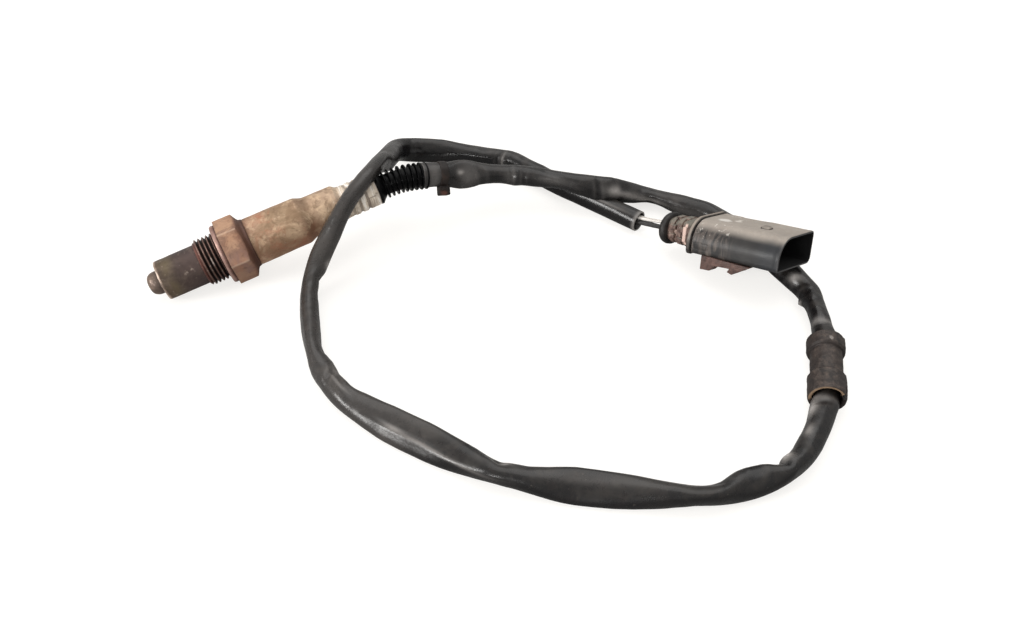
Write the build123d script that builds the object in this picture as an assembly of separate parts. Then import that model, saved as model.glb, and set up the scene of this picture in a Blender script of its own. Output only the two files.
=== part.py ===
"""Heated planar oxygen sensor with its lead: M18 probe, ribbed rubber boot,
flattened cable sleeve, harness clip and flat four-way connector, lying on a
level surface as it comes to rest.

Frame: +Z up, z = 0 is the surface it lies on, +X runs in plan from the probe's
tip towards its cable end.  The origin is the middle of the probe and boot's
footprint.  All dimensions are millimetres.
"""
from build123d import *
import math
import os

os.makedirs("parts", exist_ok=True)

# ---------------------------------------------------------------- dimensions
# probe, stations s measured along its axis from the tip
PITCH = 10.4            # the tip and the hexagon touch the surface, the cable end is up
INNER_TUBE_R = 4.4
INNER_TUBE_WALL = 0.5
OUTER_TUBE_R = 7.5
OUTER_TUBE_WALL = 0.5
OUTER_TUBE_FRONT = 6.0
NOSE_S = 23.0           # front face of the threaded nose
THREAD_R = 9.0          # M18 x 1.5, plain at its major diameter
THREAD_END = 28.6
RELIEF_R = 8.2
GASKET_OD = 22.5
GASKET_ID = 17.8
GASKET_S = (29.5, 31.3)
HEX_AF = 22.0
HEX_S = (31.3, 39.9)
HEX_ROLL = -11.0        # one flat faces up and forward
NECK_R = 8.7
COLLAR_R = 8.4
COLLAR_END = 49.0
BORE_R = 6.0
SHELL_R = (9.1, 7.6, 6.35)      # stepped protective sleeve, outside
SHELL_IN = (8.4, 6.9, 5.65)     # and inside
SHELL_S = (41.4, 63.0, 77.0, 92.2)
ELEMENT = (4.0, 1.3)            # width, thickness
ELEMENT_S = (4.5, 60.0)
LEAD_R = 0.8
LEAD_OFF = 1.15

# boot
BOOT_CORE_R = 4.3
BOOT_FIN_R = 5.25
BOOT_BORE_R = 2.6
BOOT_SPIGOT_R = 3.4
FIN_COUNT = 9
FIN_PITCH = 1.9
FIN_T = 0.9

# cable sleeve, outside diameter where it is round
CORD_D = 8.5
CORD_R = CORD_D / 2
SLEEVE_BORE_R = 3.4

# connector: mouth direction in plan, its rise, and its roll
CONN_YAW = -64.4
CONN_PITCH = 11.9
CONN_ROLL = -15.0
CONN_L = 34.7
CONN_W = 25.0
CONN_H = 11.2
CONN_WALL = 1.3
CONN_TAIL = 15.2
PIN_Y = (-7.5, -2.5, 2.5, 7.5)
PIN_Z = 5.6

# footprint centre of probe and boot, measured from the foot of the seat plane
CENTRE_X = 30.09
CENTRE_Y = 0.00

# route of the cable sleeve, from the boot to the cut end: the corners of its
# centre line, measured from the foot of the seat plane
ROUTE = [
    (79.6, -0.9, 23.6), (93.6, -1.9, 20.9), (108.3, -2.6, 17.8), (121.0, -6.2, 16.4), (132.2, -13.2, 16.3),
    (143.0, -21.5, 16.3), (154.8, -25.6, 13.6), (166.6, -29.6, 7.6), (177.4, -38.4, 4.3),
    (188.0, -54.0, 4.25), (193.6, -76.0, 4.25), (192.9, -101.5, 4.25), (182.2, -122.6, 6.25),
    (158.5, -153.8, 6.25), (141.0, -165.8, 4.3), (121.5, -168.6, 4.25), (103.3, -164.5, 4.25),
    (85.2, -153.9, 4.25), (64.5, -141.3, 4.25), (46.8, -126.0, 4.25), (33.2, -106.5, 4.25),
    (21.9, -86.9, 4.25), (16.6, -69.0, 4.25), (15.9, -52.0, 4.6), (18.2, -37.5, 8.0),
    (22.9, -27.4, 16.2), (29.2, -21.3, 25.4), (36.2, -15.8, 33.8), (44.8, -9.4, 40.2),
    (53.6, -2.2, 42.6), (61.4, 6.0, 41.2), (68.0, 15.0, 35.6), (73.8, 24.2, 27.4),
    (78.8, 33.2, 18.8), (83.8, 40.4, 11.8), (90.2, 44.0, 7.2), (98.6, 42.4, 4.7),
    (108.7, 36.6, 4.25), (120.6, 28.6, 4.25), (129.9, 17.0, 4.25), (134.6, 1.0, 4.25),
    (142.3, -16.4, 4.25), (149.0, -29.7, 4.25), (154.8, -41.2, 4.25),
]
# harness clip on the straight run of the route
CLIP_RUN = (12, 13)
CLIP_L = 31.0
CLIP_COLLAR_R = 6.25
CLIP_COLLAR_L = 9.0
CLIP_BARREL_R = 5.3


# ------------------------------------------------------------------- helpers
def V(p):
    return Vector(*p)


def turned(points):
    """Solid of revolution about local X from (s, r) corner points."""
    return revolve(make_face(Polyline(*[(a, b) for a, b in points], close=True)), axis=Axis.X, revolution_arc=360)


def rod_x(s0, s1, r, y=0.0, z=0.0):
    return Plane(origin=(s0, y, z), x_dir=(0, 1, 0), z_dir=(1, 0, 0)) * extrude(Circle(r), s1 - s0)


def block(x0, x1, y0, y1, z0, z1):
    return Pos((x0 + x1) / 2, (y0 + y1) / 2, (z0 + z1) / 2) * Box(x1 - x0, y1 - y0, z1 - z0)


def one(shape):
    """The single solid of a shape."""
    s = shape.solids()
    assert len(s) == 1, len(s)
    return s[0]


def route_radii(pts):
    radii = []
    for i in range(1, len(pts) - 1):
        a, b = V(pts[i]) - V(pts[i - 1]), V(pts[i + 1]) - V(pts[i])
        turn = math.radians(a.get_angle(b))
        radii.append(0.45 * min(a.length, b.length) / math.tan(turn / 2))
    return radii


def swept(path, r, offset=(0.0, 0.0)):
    """Round section of radius r carried along a path, its centre beside the path's start."""
    t = path % 0
    up = Vector(0, 0, 1)
    side = up.cross(t).normalized()
    top = t.cross(side).normalized()
    o = (path @ 0) + side * offset[0] + top * offset[1]
    return sweep(Plane(origin=o, x_dir=side, z_dir=t) * Circle(r), path=path)


SHIFT = Pos(-CENTRE_X, -CENTRE_Y, 0)
cp, sp = math.cos(math.radians(PITCH)), math.sin(math.radians(PITCH))
AXIS_Z0 = OUTER_TUBE_R * cp - 7.0 * sp          # axis height at the tip
AXIS_X0 = -HEX_S[0] * cp
PROBE = Location((AXIS_X0, 0, AXIS_Z0), (0, -PITCH, 0))


def axis_pt(s):
    return Vector(AXIS_X0 + s * cp, 0, AXIS_Z0 + s * sp)


AXIS_DIR = Vector(cp, 0, sp)
nodes = {}
slots4 = [(-LEAD_OFF, LEAD_OFF), (LEAD_OFF, LEAD_OFF), (-LEAD_OFF, -LEAD_OFF), (LEAD_OFF, -LEAD_OFF)]
lead_names = ["white_lead_a", "white_lead_b", "black_lead", "grey_lead"]

# ------------------------------------------------------------ probe, turned
w = INNER_TUBE_WALL
dome = []
for k in range(0, 7):                      # domed end, a quarter ellipse 3.4 long
    a = math.radians(90 * k / 6)
    dome.append((3.4 - 3.4 * math.cos(a), INNER_TUBE_R * math.sin(a)))
dome_in = [(3.4 - (3.4 - w) * math.cos(math.radians(90 * k / 6)), (INNER_TUBE_R - w) * math.sin(math.radians(90 * k / 6))) for k in range(0, 7)]
inner = turned([(0.0, 0.0)] + dome[1:] + [(24.6, INNER_TUBE_R), (24.6, 7.0), (25.2, 7.0), (25.2, INNER_TUBE_R - w)] + dome_in[::-1][:-1] + [(w, 0.0)])
inner -= rod_x(-1, 2, 0.8)
for k in range(3):
    inner -= Rot(60 * k, 0, 0) * (Pos(17, 0, 0) * Cylinder(0.75, 20))
nodes["inner_protection_tube"] = PROBE * one(inner)

ow = OUTER_TUBE_WALL
f = OUTER_TUBE_FRONT
outer = turned([(f, INNER_TUBE_R), (f, OUTER_TUBE_R - 1.0), (f + 0.3, OUTER_TUBE_R - 0.3), (f + 1.0, OUTER_TUBE_R), (25.2, OUTER_TUBE_R),
                (25.2, OUTER_TUBE_R - ow), (f + 1.2, OUTER_TUBE_R - ow), (f + ow, OUTER_TUBE_R - 1.3), (f + ow, INNER_TUBE_R)])
nodes["outer_protection_tube"] = PROBE * one(outer)

h0, h1 = HEX_S
body = turned([(NOSE_S, 0), (NOSE_S, 8.2), (NOSE_S + 0.8, THREAD_R), (THREAD_END, THREAD_R), (THREAD_END + 0.5, RELIEF_R), (h0 + 0.2, RELIEF_R),
               (h0 + 0.2, NECK_R), (COLLAR_END - 7.6, NECK_R), (COLLAR_END - 7.6, COLLAR_R), (COLLAR_END - 0.5, COLLAR_R), (COLLAR_END, COLLAR_R - 0.5), (COLLAR_END, 0)])
hexagon = Plane(origin=(h0, 0, 0), x_dir=(0, 1, 0), z_dir=(1, 0, 0)) * extrude(RegularPolygon(HEX_AF / 2, 6, major_radius=False, rotation=HEX_ROLL), h1 - h0)
ch = turned([(h0, 0), (h0, 11.9), (h0 + 0.5, 12.9), (h1 - 1.5, 12.9), (h1, 10.4), (h1, 0)])
body = body + (hexagon & ch)
bore = turned([(NOSE_S - 1, 0), (NOSE_S - 1, OUTER_TUBE_R), (25.2, OUTER_TUBE_R), (25.2, 4.0), (27.0, 4.0), (27.0, BORE_R), (COLLAR_END - 1.0, BORE_R),
               (COLLAR_END - 1.0, 5.3), (COLLAR_END + 1, 5.3), (COLLAR_END + 1, 0)])
nodes["sensor_housing"] = PROBE * one(body - bore)

g0, g1 = GASKET_S
gi, go = GASKET_ID / 2, GASKET_OD / 2
nodes["sealing_gasket"] = PROBE * one(turned([(g0, gi + 0.5), (g0, go - 0.6), (g0 + 0.5, go), (g1 - 0.5, go), (g1, go - 0.6), (g1, gi + 0.5), (g1 - 0.5, gi), (g0 + 0.5, gi)]))

# -------------------------------------------------------- probe, the inside
ew, et = ELEMENT
nodes["ceramic_sensing_element"] = PROBE * one(block(ELEMENT_S[0], ELEMENT_S[1], -ew / 2, ew / 2, -et / 2, et / 2))
slot = block(20, 70, -ew / 2, ew / 2, -et / 2, et / 2)
nodes["lower_ceramic_insulator"] = PROBE * one(rod_x(27.0, 32.5, BORE_R) - slot)
nodes["powder_packing"] = PROBE * one(rod_x(32.5, 36.5, BORE_R) - slot)
nodes["upper_ceramic_insulator"] = PROBE * one(turned([(36.5, 0), (36.5, BORE_R), (47.6, BORE_R), (48.0, 5.2), (51.5, 5.2), (51.5, 0)]) - slot)

holder = turned([(51.5, 0), (51.5, 7.2), (51.9, 7.6), (61.8, 7.6), (62.6, 6.6), (71.0, 6.6), (71.0, 0)]) - block(50, 72, -2.6, 2.6, -2.6, 2.6)
nodes["contact_holder"] = PROBE * one(holder)
ring = turned([(53.5, 7.6), (53.5, 8.4), (61.0, 8.4), (61.0, 7.6)]) - block(52, 63, -0.8, 0.8, 5, 9)
nodes["holder_spring_ring"] = PROBE * one(ring)

contacts = []
for (oy, oz) in slots4:
    sg = 1 if oz > 0 else -1
    line = [(54.2, 1.35), (56.2, 0.8), (57.6, 0.8), (60.4, 1.3), (65.5, 1.3), (68.4, 2.1), (71.5, 2.1)]
    upper = [(x, z + 0.3) for x, z in line]
    prof = [(x, sg * (z - 0.15)) for x, z in line] + [(x, sg * (z - 0.15)) for x, z in upper[::-1]]
    face = Plane.XZ * make_face(Polyline(*prof, close=True))
    strip = Pos(0, oy + 0.5, 0) * extrude(face, 1.0)
    barrel = rod_x(69.6, 74.6, 1.08, oy, oz) - rod_x(69.0, 75.0, LEAD_R, oy, oz)
    strip = strip - rod_x(69.6, 75.0, LEAD_R, oy, oz)
    contacts.append(PROBE * one(strip + barrel))
nodes["contact_springs"] = Compound(contacts)

grommet = rod_x(78.2, 91.0, SHELL_IN[2])
for (oy, oz) in slots4:
    grommet -= rod_x(78, 92, LEAD_R, oy, oz)
nodes["lead_grommet"] = PROBE * one(grommet)

# stepped protective sleeve, rolled tight round the grommet
a, b, c = SHELL_R
ai, bi, ci = SHELL_IN
s0, s1, s2, s3 = SHELL_S
outerp = [(s0, a - 0.3), (s0 + 0.4, a), (s1, a), (s1 + 1.4, b), (s2, b), (s2 + 1.3, c)]
for g in (80.6, 84.0, 87.4):
    outerp += [(g - 0.7, c), (g - 0.3, c - 0.35), (g + 0.3, c - 0.35), (g + 0.7, c)]
outerp += [(s3 - 0.3, c), (s3, c - 0.3)]
innerp = [(s3, ci), (s2 + 1.2, ci), (s2 - 0.4, bi), (s1 + 1.2, bi), (s1 - 0.4, ai), (s0, ai)]
nodes["protective_sleeve"] = PROBE * one(turned(outerp + innerp))

# ---------------------------------------------------------------- the boot
R1, R2 = V(ROUTE[0]), V(ROUTE[1])
cdir = (R2 - R1).normalized()
b0 = axis_pt(91.0)
b1, b2, b3 = axis_pt(96.5), R1 - cdir * 5.5, R1 + cdir * 11.0
boot_pts = [tuple(b0), tuple(b1), tuple(b2), tuple(b3)]
boot_path = FilletPolyline(b0, b1, b2, b3, radius=route_radii(boot_pts))
blen = boot_path.length
boot_core_end = blen - 11.0


def on_boot(dist):
    t = dist / blen
    return boot_path @ t, boot_path % t


def boot_disc(d0, d1, r):
    o, t = on_boot((d0 + d1) / 2)
    o = o - t * ((d1 - d0) / 2)
    return Plane(origin=o, z_dir=t) * extrude(Circle(r), d1 - d0)


spigot = swept(boot_path, BOOT_SPIGOT_R)
core = swept(boot_path, BOOT_CORE_R) - (Plane(origin=R1, z_dir=cdir) * extrude(Circle(9), 14))
boot = core + spigot + boot_disc(0.0, 1.3, 5.55) + boot_disc(1.2, 2.5, 6.4) + boot_disc(2.4, 3.3, 5.3)
for k in range(FIN_COUNT):
    d = 5.2 + k * FIN_PITCH
    boot = boot + boot_disc(d - FIN_T / 2, d + FIN_T / 2, BOOT_FIN_R)
boot = boot - swept(boot_path, BOOT_BORE_R)
nodes["bend_protection_boot"] = one(boot)

# -------------------------------------------------------- the cable sleeve
radii = route_radii(ROUTE)
cord_path = FilletPolyline(*[V(p) for p in ROUTE], radius=radii)
cord = swept(cord_path, CORD_R)
route_volume, section_volume = cord.volume, math.pi * CORD_R ** 2 * cord_path.length
end_dir = (V(ROUTE[-1]) - V(ROUTE[-2])).normalized()
cord_end = V(ROUTE[-1])
cord = cord - (Plane(origin=R1 - cdir * 1.0, z_dir=cdir) * extrude(Circle(BOOT_SPIGOT_R), 12.0))
cord = cord - (Plane(origin=cord_end - end_dir * 4.5, z_dir=end_dir) * extrude(Circle(SLEEVE_BORE_R), 6.0))
nodes["cable_sleeve"] = one(cord)

# tie round the sleeve's end, its head down towards the front
tie_o = R1 + cdir * 4.8
tie_plane = Plane(origin=tie_o, x_dir=(0, 0, 1), z_dir=cdir)
tie = tie_plane * (extrude(Circle(CORD_R + 0.9), 3.0) - extrude(Circle(CORD_R), 3.0))
head_dir = (Vector(0, -1, 0) + Vector(0, 0, -1)).normalized()
head_dir = (head_dir - cdir * head_dir.dot(cdir)).normalized()
head_plane = Plane(origin=tie_o + cdir * 1.5 + head_dir * (CORD_R + 0.2), x_dir=cdir, z_dir=head_dir)
head = head_plane * (Pos(0, 0, 1.9) * Box(4.4, 4.6, 3.8)) - (tie_plane * (Pos(0, 0, -3) * extrude(Circle(CORD_R), 9.0)))
nodes["cable_tie"] = one(tie + head)

# --------------------------------------------------------- the harness clip
ca, cb = V(ROUTE[CLIP_RUN[0]]), V(ROUTE[CLIP_RUN[1]])
clip_dir = (cb - ca).normalized()
clip_mid = (ca + cb) * 0.5
CL = Plane(origin=clip_mid - clip_dir * (CLIP_L / 2), x_dir=(0, 0, 1), z_dir=clip_dir).location
L, k, rc, rb = CLIP_L, CLIP_COLLAR_L, CLIP_COLLAR_R, CLIP_BARREL_R
clip_pts = [(0, CORD_R + 0.8), (0, rc - 0.9), (0.9, rc), (k - 0.6, rc), (k, rc - 0.6), (k + 0.4, rb), (L - k - 0.4, rb), (L - k, rc - 0.6),
            (L - k + 0.6, rc), (L - 2.2, rc), (L, rc - 0.8), (L, CORD_R + 0.8), (L - k + 1, CORD_R + 0.5), (L - k - 1, CORD_R), (k + 1, CORD_R), (k - 1, CORD_R + 0.5)]
clip = revolve(make_face(Plane.XZ * Polyline(*[(r, z) for z, r in clip_pts], close=True)), axis=Axis.Z, revolution_arc=360)
clip = clip - (Pos(0, -rc, L - 1.0) * Box(3.4, 3.0, 4.0))
nodes["harness_clip"] = one(CL * clip)

# ------------------------------------------------------------ the connector
yw, pt, rl = map(math.radians, (CONN_YAW, CONN_PITCH, CONN_ROLL))
CA = Vector(math.cos(yw) * math.cos(pt), math.sin(yw) * math.cos(pt), math.sin(pt))
side0 = Vector(-math.sin(yw), math.cos(yw), 0)
up0 = CA.cross(side0)
CW = side0 * math.cos(rl) + up0 * math.sin(rl)
CH = CA.cross(CW)
CONN_O = Vector(170.9, -67.6, 5.75)      # middle of the body's lower rear edge
CONN = Plane(origin=CONN_O, x_dir=CA, z_dir=CH).location
W, H, LL = CONN_W, CONN_H, CONN_L


def d_face(inset=0.0, r_near=5.4):
    """Flat D section in the local YZ plane: the near side is rounded over at the top."""
    y0, y1, z0, z1 = -W / 2 + inset, W / 2 - inset, inset, H - inset
    rr = max(r_near - inset, 0.6)
    r1, r2, r3 = max(1.4 - inset, 0.4), max(1.6 - inset, 0.4), max(2.6 - inset, 0.5)
    pl = Plane(origin=(0, 0, 0), x_dir=(0, 1, 0), z_dir=(1, 0, 0))
    pts = [(y0, z0), (y1, z0), (y1, z1), (y0, z1)]
    f_ = make_face(Polyline(*pts, close=True))
    vs = f_.vertices()

    def near(p):
        return [v for v in vs if abs(v.X - p[0]) < 1e-6 and abs(v.Y - p[1]) < 1e-6]
    f_ = fillet(near(pts[0]), r1)
    vs = f_.vertices()
    f_ = fillet([v for v in vs if abs(v.X - y1) < 1e-6 and abs(v.Y - z0) < 1e-6], r3)
    vs = f_.vertices()
    f_ = fillet([v for v in vs if abs(v.X - y1) < 1e-6 and abs(v.Y - z1) < 1e-6], r2)
    vs = f_.vertices()
    f_ = fillet([v for v in vs if abs(v.X - y0) < 1e-6 and abs(v.Y - z1) < 1e-6], rr)
    return pl * f_


def prism(face, x0, x1):
    return Pos(x0, 0, 0) * extrude(face, x1 - x0)


housing = prism(d_face(), 0, LL) + prism(d_face(-0.6, 5.4), -2.0, -0.2)
housing = housing + prism(d_face(), -0.4, 0.2)
housing = housing - prism(d_face(CONN_WALL), 13.0, LL + 1) - prism(d_face(CONN_WALL + 0.4), -3.0, 8.0)
bump = Plane.XZ * make_face(Polyline((21.5, H - 0.5), (23.2, H + 1.1), (24.6, H + 1.1), (27.2, H - 0.5), close=True))
housing = housing + (Pos(0, 2.5, 0) * extrude(bump, 5.0))
for y in PIN_Y:
    housing = housing - block(7, 14, y - 1.4, y + 1.4, PIN_Z - 0.4, PIN_Z + 0.4)
lock_slot = block(9.2, 11.4, -W / 2 + 3.0, W / 2 - 3.0, -1.0, PIN_Z - 0.4)
housing = housing - lock_slot
nodes["connector_housing"] = CONN * one(housing)

nodes["secondary_lock"] = CONN * one(block(9.2, 11.4, -W / 2 + 3.0, W / 2 - 3.0, 0.3, PIN_Z - 0.4))

pins = []
for y in PIN_Y:
    blade = block(-4.0, 23.0, y - 1.4, y + 1.4, PIN_Z - 0.4, PIN_Z + 0.4) + block(23.0, 24.2, y - 0.9, y + 0.9, PIN_Z - 0.3, PIN_Z + 0.3)
    bar = rod_x(-7.0, -3.0, 1.15, y, PIN_Z) - rod_x(-8.0, -4.5, LEAD_R, y, PIN_Z)
    pins.append(CONN * one(blade - rod_x(-8.0, -4.5, LEAD_R, y, PIN_Z) + bar))
nodes["terminal_pins"] = Compound(pins)

# retainer behind the flange, then the rubber end cover
ret = prism(d_face(CONN_WALL + 0.4), -12.0, 8.0)
for y in PIN_Y:
    ret = ret - rod_x(-13, -7.0, LEAD_R, y, PIN_Z) - rod_x(-7.0, -3.0, 1.15, y, PIN_Z) - block(-4.0, 9.0, y - 1.4, y + 1.4, PIN_Z - 0.4, PIN_Z + 0.4)
nodes["terminal_retainer"] = CONN * one(ret)
cover = prism(d_face(0.0, 5.4), -CONN_TAIL, -12.0)
for y in PIN_Y:
    cover = cover - rod_x(-CONN_TAIL - 1, -11, LEAD_R, y, PIN_Z)
nodes["connector_end_seal"] = CONN * one(cover)

# slide rail and its two hooked feet under the near edge
rail = block(2.0, 24.0, -W / 2 - 0.6, -3.0, -1.8, 0.0)
foot_a = Plane.XZ * make_face(Polyline((2.0, -1.0), (7.5, -1.0), (6.8, -3.6), (5.0, -4.6), (4.6, -6.3), (2.0, -6.3), close=True))
foot_b = Plane.XZ * make_face(Polyline((13.0, -1.0), (23.5, -1.0), (16.4, -6.3), (13.6, -5.4), (14.4, -3.4), close=True))
rail = rail + (Pos(0, -3.0, 0) * extrude(foot_a, 9.5)) + (Pos(0, -3.0, 0) * extrude(foot_b, 9.5))
nodes["mounting_slide"] = CONN * one(rail)

# ------------------------------------------------------------------- leads
us = Vector(end_dir.Y * -1, end_dir.X, 0).normalized()
if us.X < 0:
    us = us * -1
vs_ = Vector(0, 0, 1)
order = {"white_lead_a": (-1, 1, 0), "black_lead": (-1, -1, 1), "grey_lead": (1, -1, 3), "white_lead_b": (1, 1, 2)}
for name, (oy, oz) in zip(lead_names, slots4):
    probe_side = PROBE * rod_x(69.8, 91.0, LEAD_R, oy, oz)
    side = Vector(0, 0, 1).cross(boot_path % 0).normalized()
    in_boot = swept(boot_path, LEAD_R, (oy, oz))
    near_end = probe_side + in_boot
    iu, iv, pin = order[name]
    off = us * (LEAD_OFF * iu) + vs_ * (LEAD_OFF * iv)
    hole = CONN_O - CA * CONN_TAIL + CW * PIN_Y[pin] + CH * PIN_Z
    pts = [cord_end - end_dir * 4.5 + off, cord_end + end_dir * 2.5 + off, hole - CA * 3.5, hole + CA * (CONN_TAIL - 4.5)]
    lead_path = FilletPolyline(*pts, radius=3.0)
    far = swept(lead_path, LEAD_R)
    nodes[name] = Compound([one(near_end), one(far)])

# ------------------------------------------------------------------ export
for name, shape in nodes.items():
    export_step(SHIFT * shape, "parts/%s.step" % name)

print("nodes", len(nodes))
print("route length %.1f  volume ratio %.4f" % (cord_path.length, route_volume / section_volume))
print("radii", [round(r, 1) for r in radii])
print("boot length %.1f" % blen)
low = min((SHIFT * s).bounding_box().min.Z for s in nodes.values())
print("lowest z %.3f" % low)
own = [n for n in nodes if n in ("inner_protection_tube", "outer_protection_tube", "sensor_housing", "sealing_gasket", "protective_sleeve", "bend_protection_boot")]
bb = Compound([nodes[n] for n in own]).bounding_box()
print("probe and boot box", bb.min, bb.max)
for n in ("connector_housing", "connector_end_seal", "mounting_slide", "harness_clip"):
    b_ = (SHIFT * nodes[n]).bounding_box()
    print(n, "z %.2f..%.2f" % (b_.min.Z, b_.max.Z))
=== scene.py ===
import bpy, bmesh, math
import numpy as np
from mathutils import Matrix, Vector, noise


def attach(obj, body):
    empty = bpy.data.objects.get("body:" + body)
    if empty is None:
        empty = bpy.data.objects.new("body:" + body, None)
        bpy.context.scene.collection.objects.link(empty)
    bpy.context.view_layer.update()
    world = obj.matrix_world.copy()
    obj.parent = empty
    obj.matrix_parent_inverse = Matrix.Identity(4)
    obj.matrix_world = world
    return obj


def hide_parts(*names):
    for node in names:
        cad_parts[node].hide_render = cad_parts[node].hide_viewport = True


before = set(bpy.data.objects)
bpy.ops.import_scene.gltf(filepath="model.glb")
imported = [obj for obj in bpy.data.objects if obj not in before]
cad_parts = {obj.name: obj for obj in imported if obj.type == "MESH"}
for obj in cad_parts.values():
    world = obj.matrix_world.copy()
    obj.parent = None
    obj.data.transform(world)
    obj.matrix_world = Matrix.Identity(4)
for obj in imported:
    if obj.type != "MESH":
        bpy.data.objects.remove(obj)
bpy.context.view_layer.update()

CX = 30.09                       # the row frame's origin along the probe, in the drawing's frame
SCN = bpy.context.scene


# ------------------------------------------------------------------ helpers
def lin(c):
    return tuple((x / 255 / 12.92 if x / 255 <= 0.04045 else ((x / 255 + 0.055) / 1.055) ** 2.4) for x in c) + (1.0,)


def unit(v):
    v = np.asarray(v, float)
    return v / np.linalg.norm(v, axis=-1, keepdims=True)


def nz(P, scale, seed=0.0):
    """Smooth noise at each point of P, which is in millimetres; scale is per millimetre."""
    o = Vector((seed * 7.31, seed * 3.17, -seed * 5.77))
    return np.array([noise.noise(Vector((p[0] * scale, p[1] * scale, p[2] * scale)) + o) for p in P])


def gauss(y, sigma):
    k = int(max(1, round(sigma * 3)))
    w = np.exp(-0.5 * (np.arange(-k, k + 1) / sigma) ** 2)
    w /= w.sum()
    return np.convolve(np.pad(y, k, mode="edge"), w, mode="valid")


def smooth01(x):
    x = np.clip(x, 0, 1)
    return x * x * (3 - 2 * x)


def mesh_piece(name, V, F, mat, slot, M=None, sharp=38.0, attrs=None, replaces=()):
    me = bpy.data.meshes.new(name)
    me.from_pydata((np.asarray(V, float) * 0.001).tolist(), [], F)
    me.update()
    bm = bmesh.new()
    bm.from_mesh(me)
    bmesh.ops.recalc_face_normals(bm, faces=bm.faces)
    bm.to_mesh(me)
    bm.free()
    me.polygons.foreach_set("use_smooth", [True] * len(me.polygons))
    me.set_sharp_from_angle(angle=math.radians(sharp))
    for k, vals in (attrs or {}).items():
        a = me.attributes.new(k, "FLOAT", "POINT")
        a.data.foreach_set("value", np.asarray(vals, np.float32))
    me.materials.append(mat)
    ob = bpy.data.objects.new(name, me)
    SCN.collection.objects.link(ob)
    if M is not None:
        ob.matrix_world = M
    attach(ob, "root")
    if replaces:
        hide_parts(*replaces)
    return ob


def grid(nu, nv, wrap=True, off=0):
    F = []
    for i in range(nu - 1):
        for j in range(nv if wrap else nv - 1):
            a, b = off + i * nv + j, off + i * nv + (j + 1) % nv
            F.append((a, b, b + nv, a + nv))
    return F


def rounded(points, seg=5):
    """Corner points (x, y, radius) with each corner rounded off."""
    out = []
    n = len(points)
    for i, (x, y, r) in enumerate(points):
        p = np.array([x, y], float)
        if r <= 0 or i in (0, n - 1):
            out.append(tuple(p))
            continue
        a, b = np.array(points[i - 1][:2], float), np.array(points[i + 1][:2], float)
        da, db = a - p, b - p
        la, lb = np.linalg.norm(da), np.linalg.norm(db)
        da, db = da / la, db / lb
        ang = math.acos(np.clip(da @ db, -1, 1))
        if abs(ang - math.pi) < 1e-3:
            out.append(tuple(p))
            continue
        t = min(r / math.tan(ang / 2), 0.48 * la, 0.48 * lb)
        rr = t * math.tan(ang / 2)
        c = p + unit(da + db) * (rr / math.sin(ang / 2))
        s, e = p + da * t - c, p + db * t - c
        a0, a1 = math.atan2(s[1], s[0]), math.atan2(e[1], e[0])
        d = (a1 - a0 + math.pi) % (2 * math.pi) - math.pi
        for k in range(seg + 1):
            q = a0 + d * k / seg
            out.append((c[0] + rr * math.cos(q), c[1] + rr * math.sin(q)))
    return out


def resampled(prof, step):
    out = [prof[0]]
    for a, b in zip(prof[:-1], prof[1:]):
        n = max(1, int(math.ceil(math.dist(a, b) / step)))
        for k in range(1, n + 1):
            out.append((a[0] + (b[0] - a[0]) * k / n, a[1] + (b[1] - a[1]) * k / n))
    return out


def lathe(prof, n=192, rfun=None, close=True):
    """Points (s, r) turned about local X.  rfun(s, r, theta) gives the radius."""
    prof = [p for i, p in enumerate(prof) if i == 0 or math.dist(p, prof[i - 1]) > 1e-5]
    th = np.linspace(0, 2 * math.pi, n, endpoint=False)
    S = np.array([p[0] for p in prof])[:, None] * np.ones(n)[None]
    R = np.array([p[1] for p in prof])[:, None] * np.ones(n)[None]
    T = np.ones(len(prof))[:, None] * th[None]
    if rfun is not None:
        R = rfun(S, R, T)
    V = np.stack([S, R * np.cos(T), R * np.sin(T)], -1).reshape(-1, 3)
    F = grid(len(prof), n)
    if close:
        m = len(prof)
        for j in range(n):
            a, b = (m - 1) * n + j, (m - 1) * n + (j + 1) % n
            F.append((a, b, (j + 1) % n, j))
    return V, F


def above_floor(V, M, z=0.03):
    """Points of a piece placed by M, none lower than z millimetres above the floor."""
    V = np.array(V, float)
    R_ = np.array([[M[i][j] for j in range(3)] for i in range(3)])
    o_ = np.array([M[i][3] for i in range(3)]) * 1000.0
    Wd = V @ R_.T + o_
    Wd[:, 2] = np.maximum(Wd[:, 2], z)
    return (Wd - o_) @ R_


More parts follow.
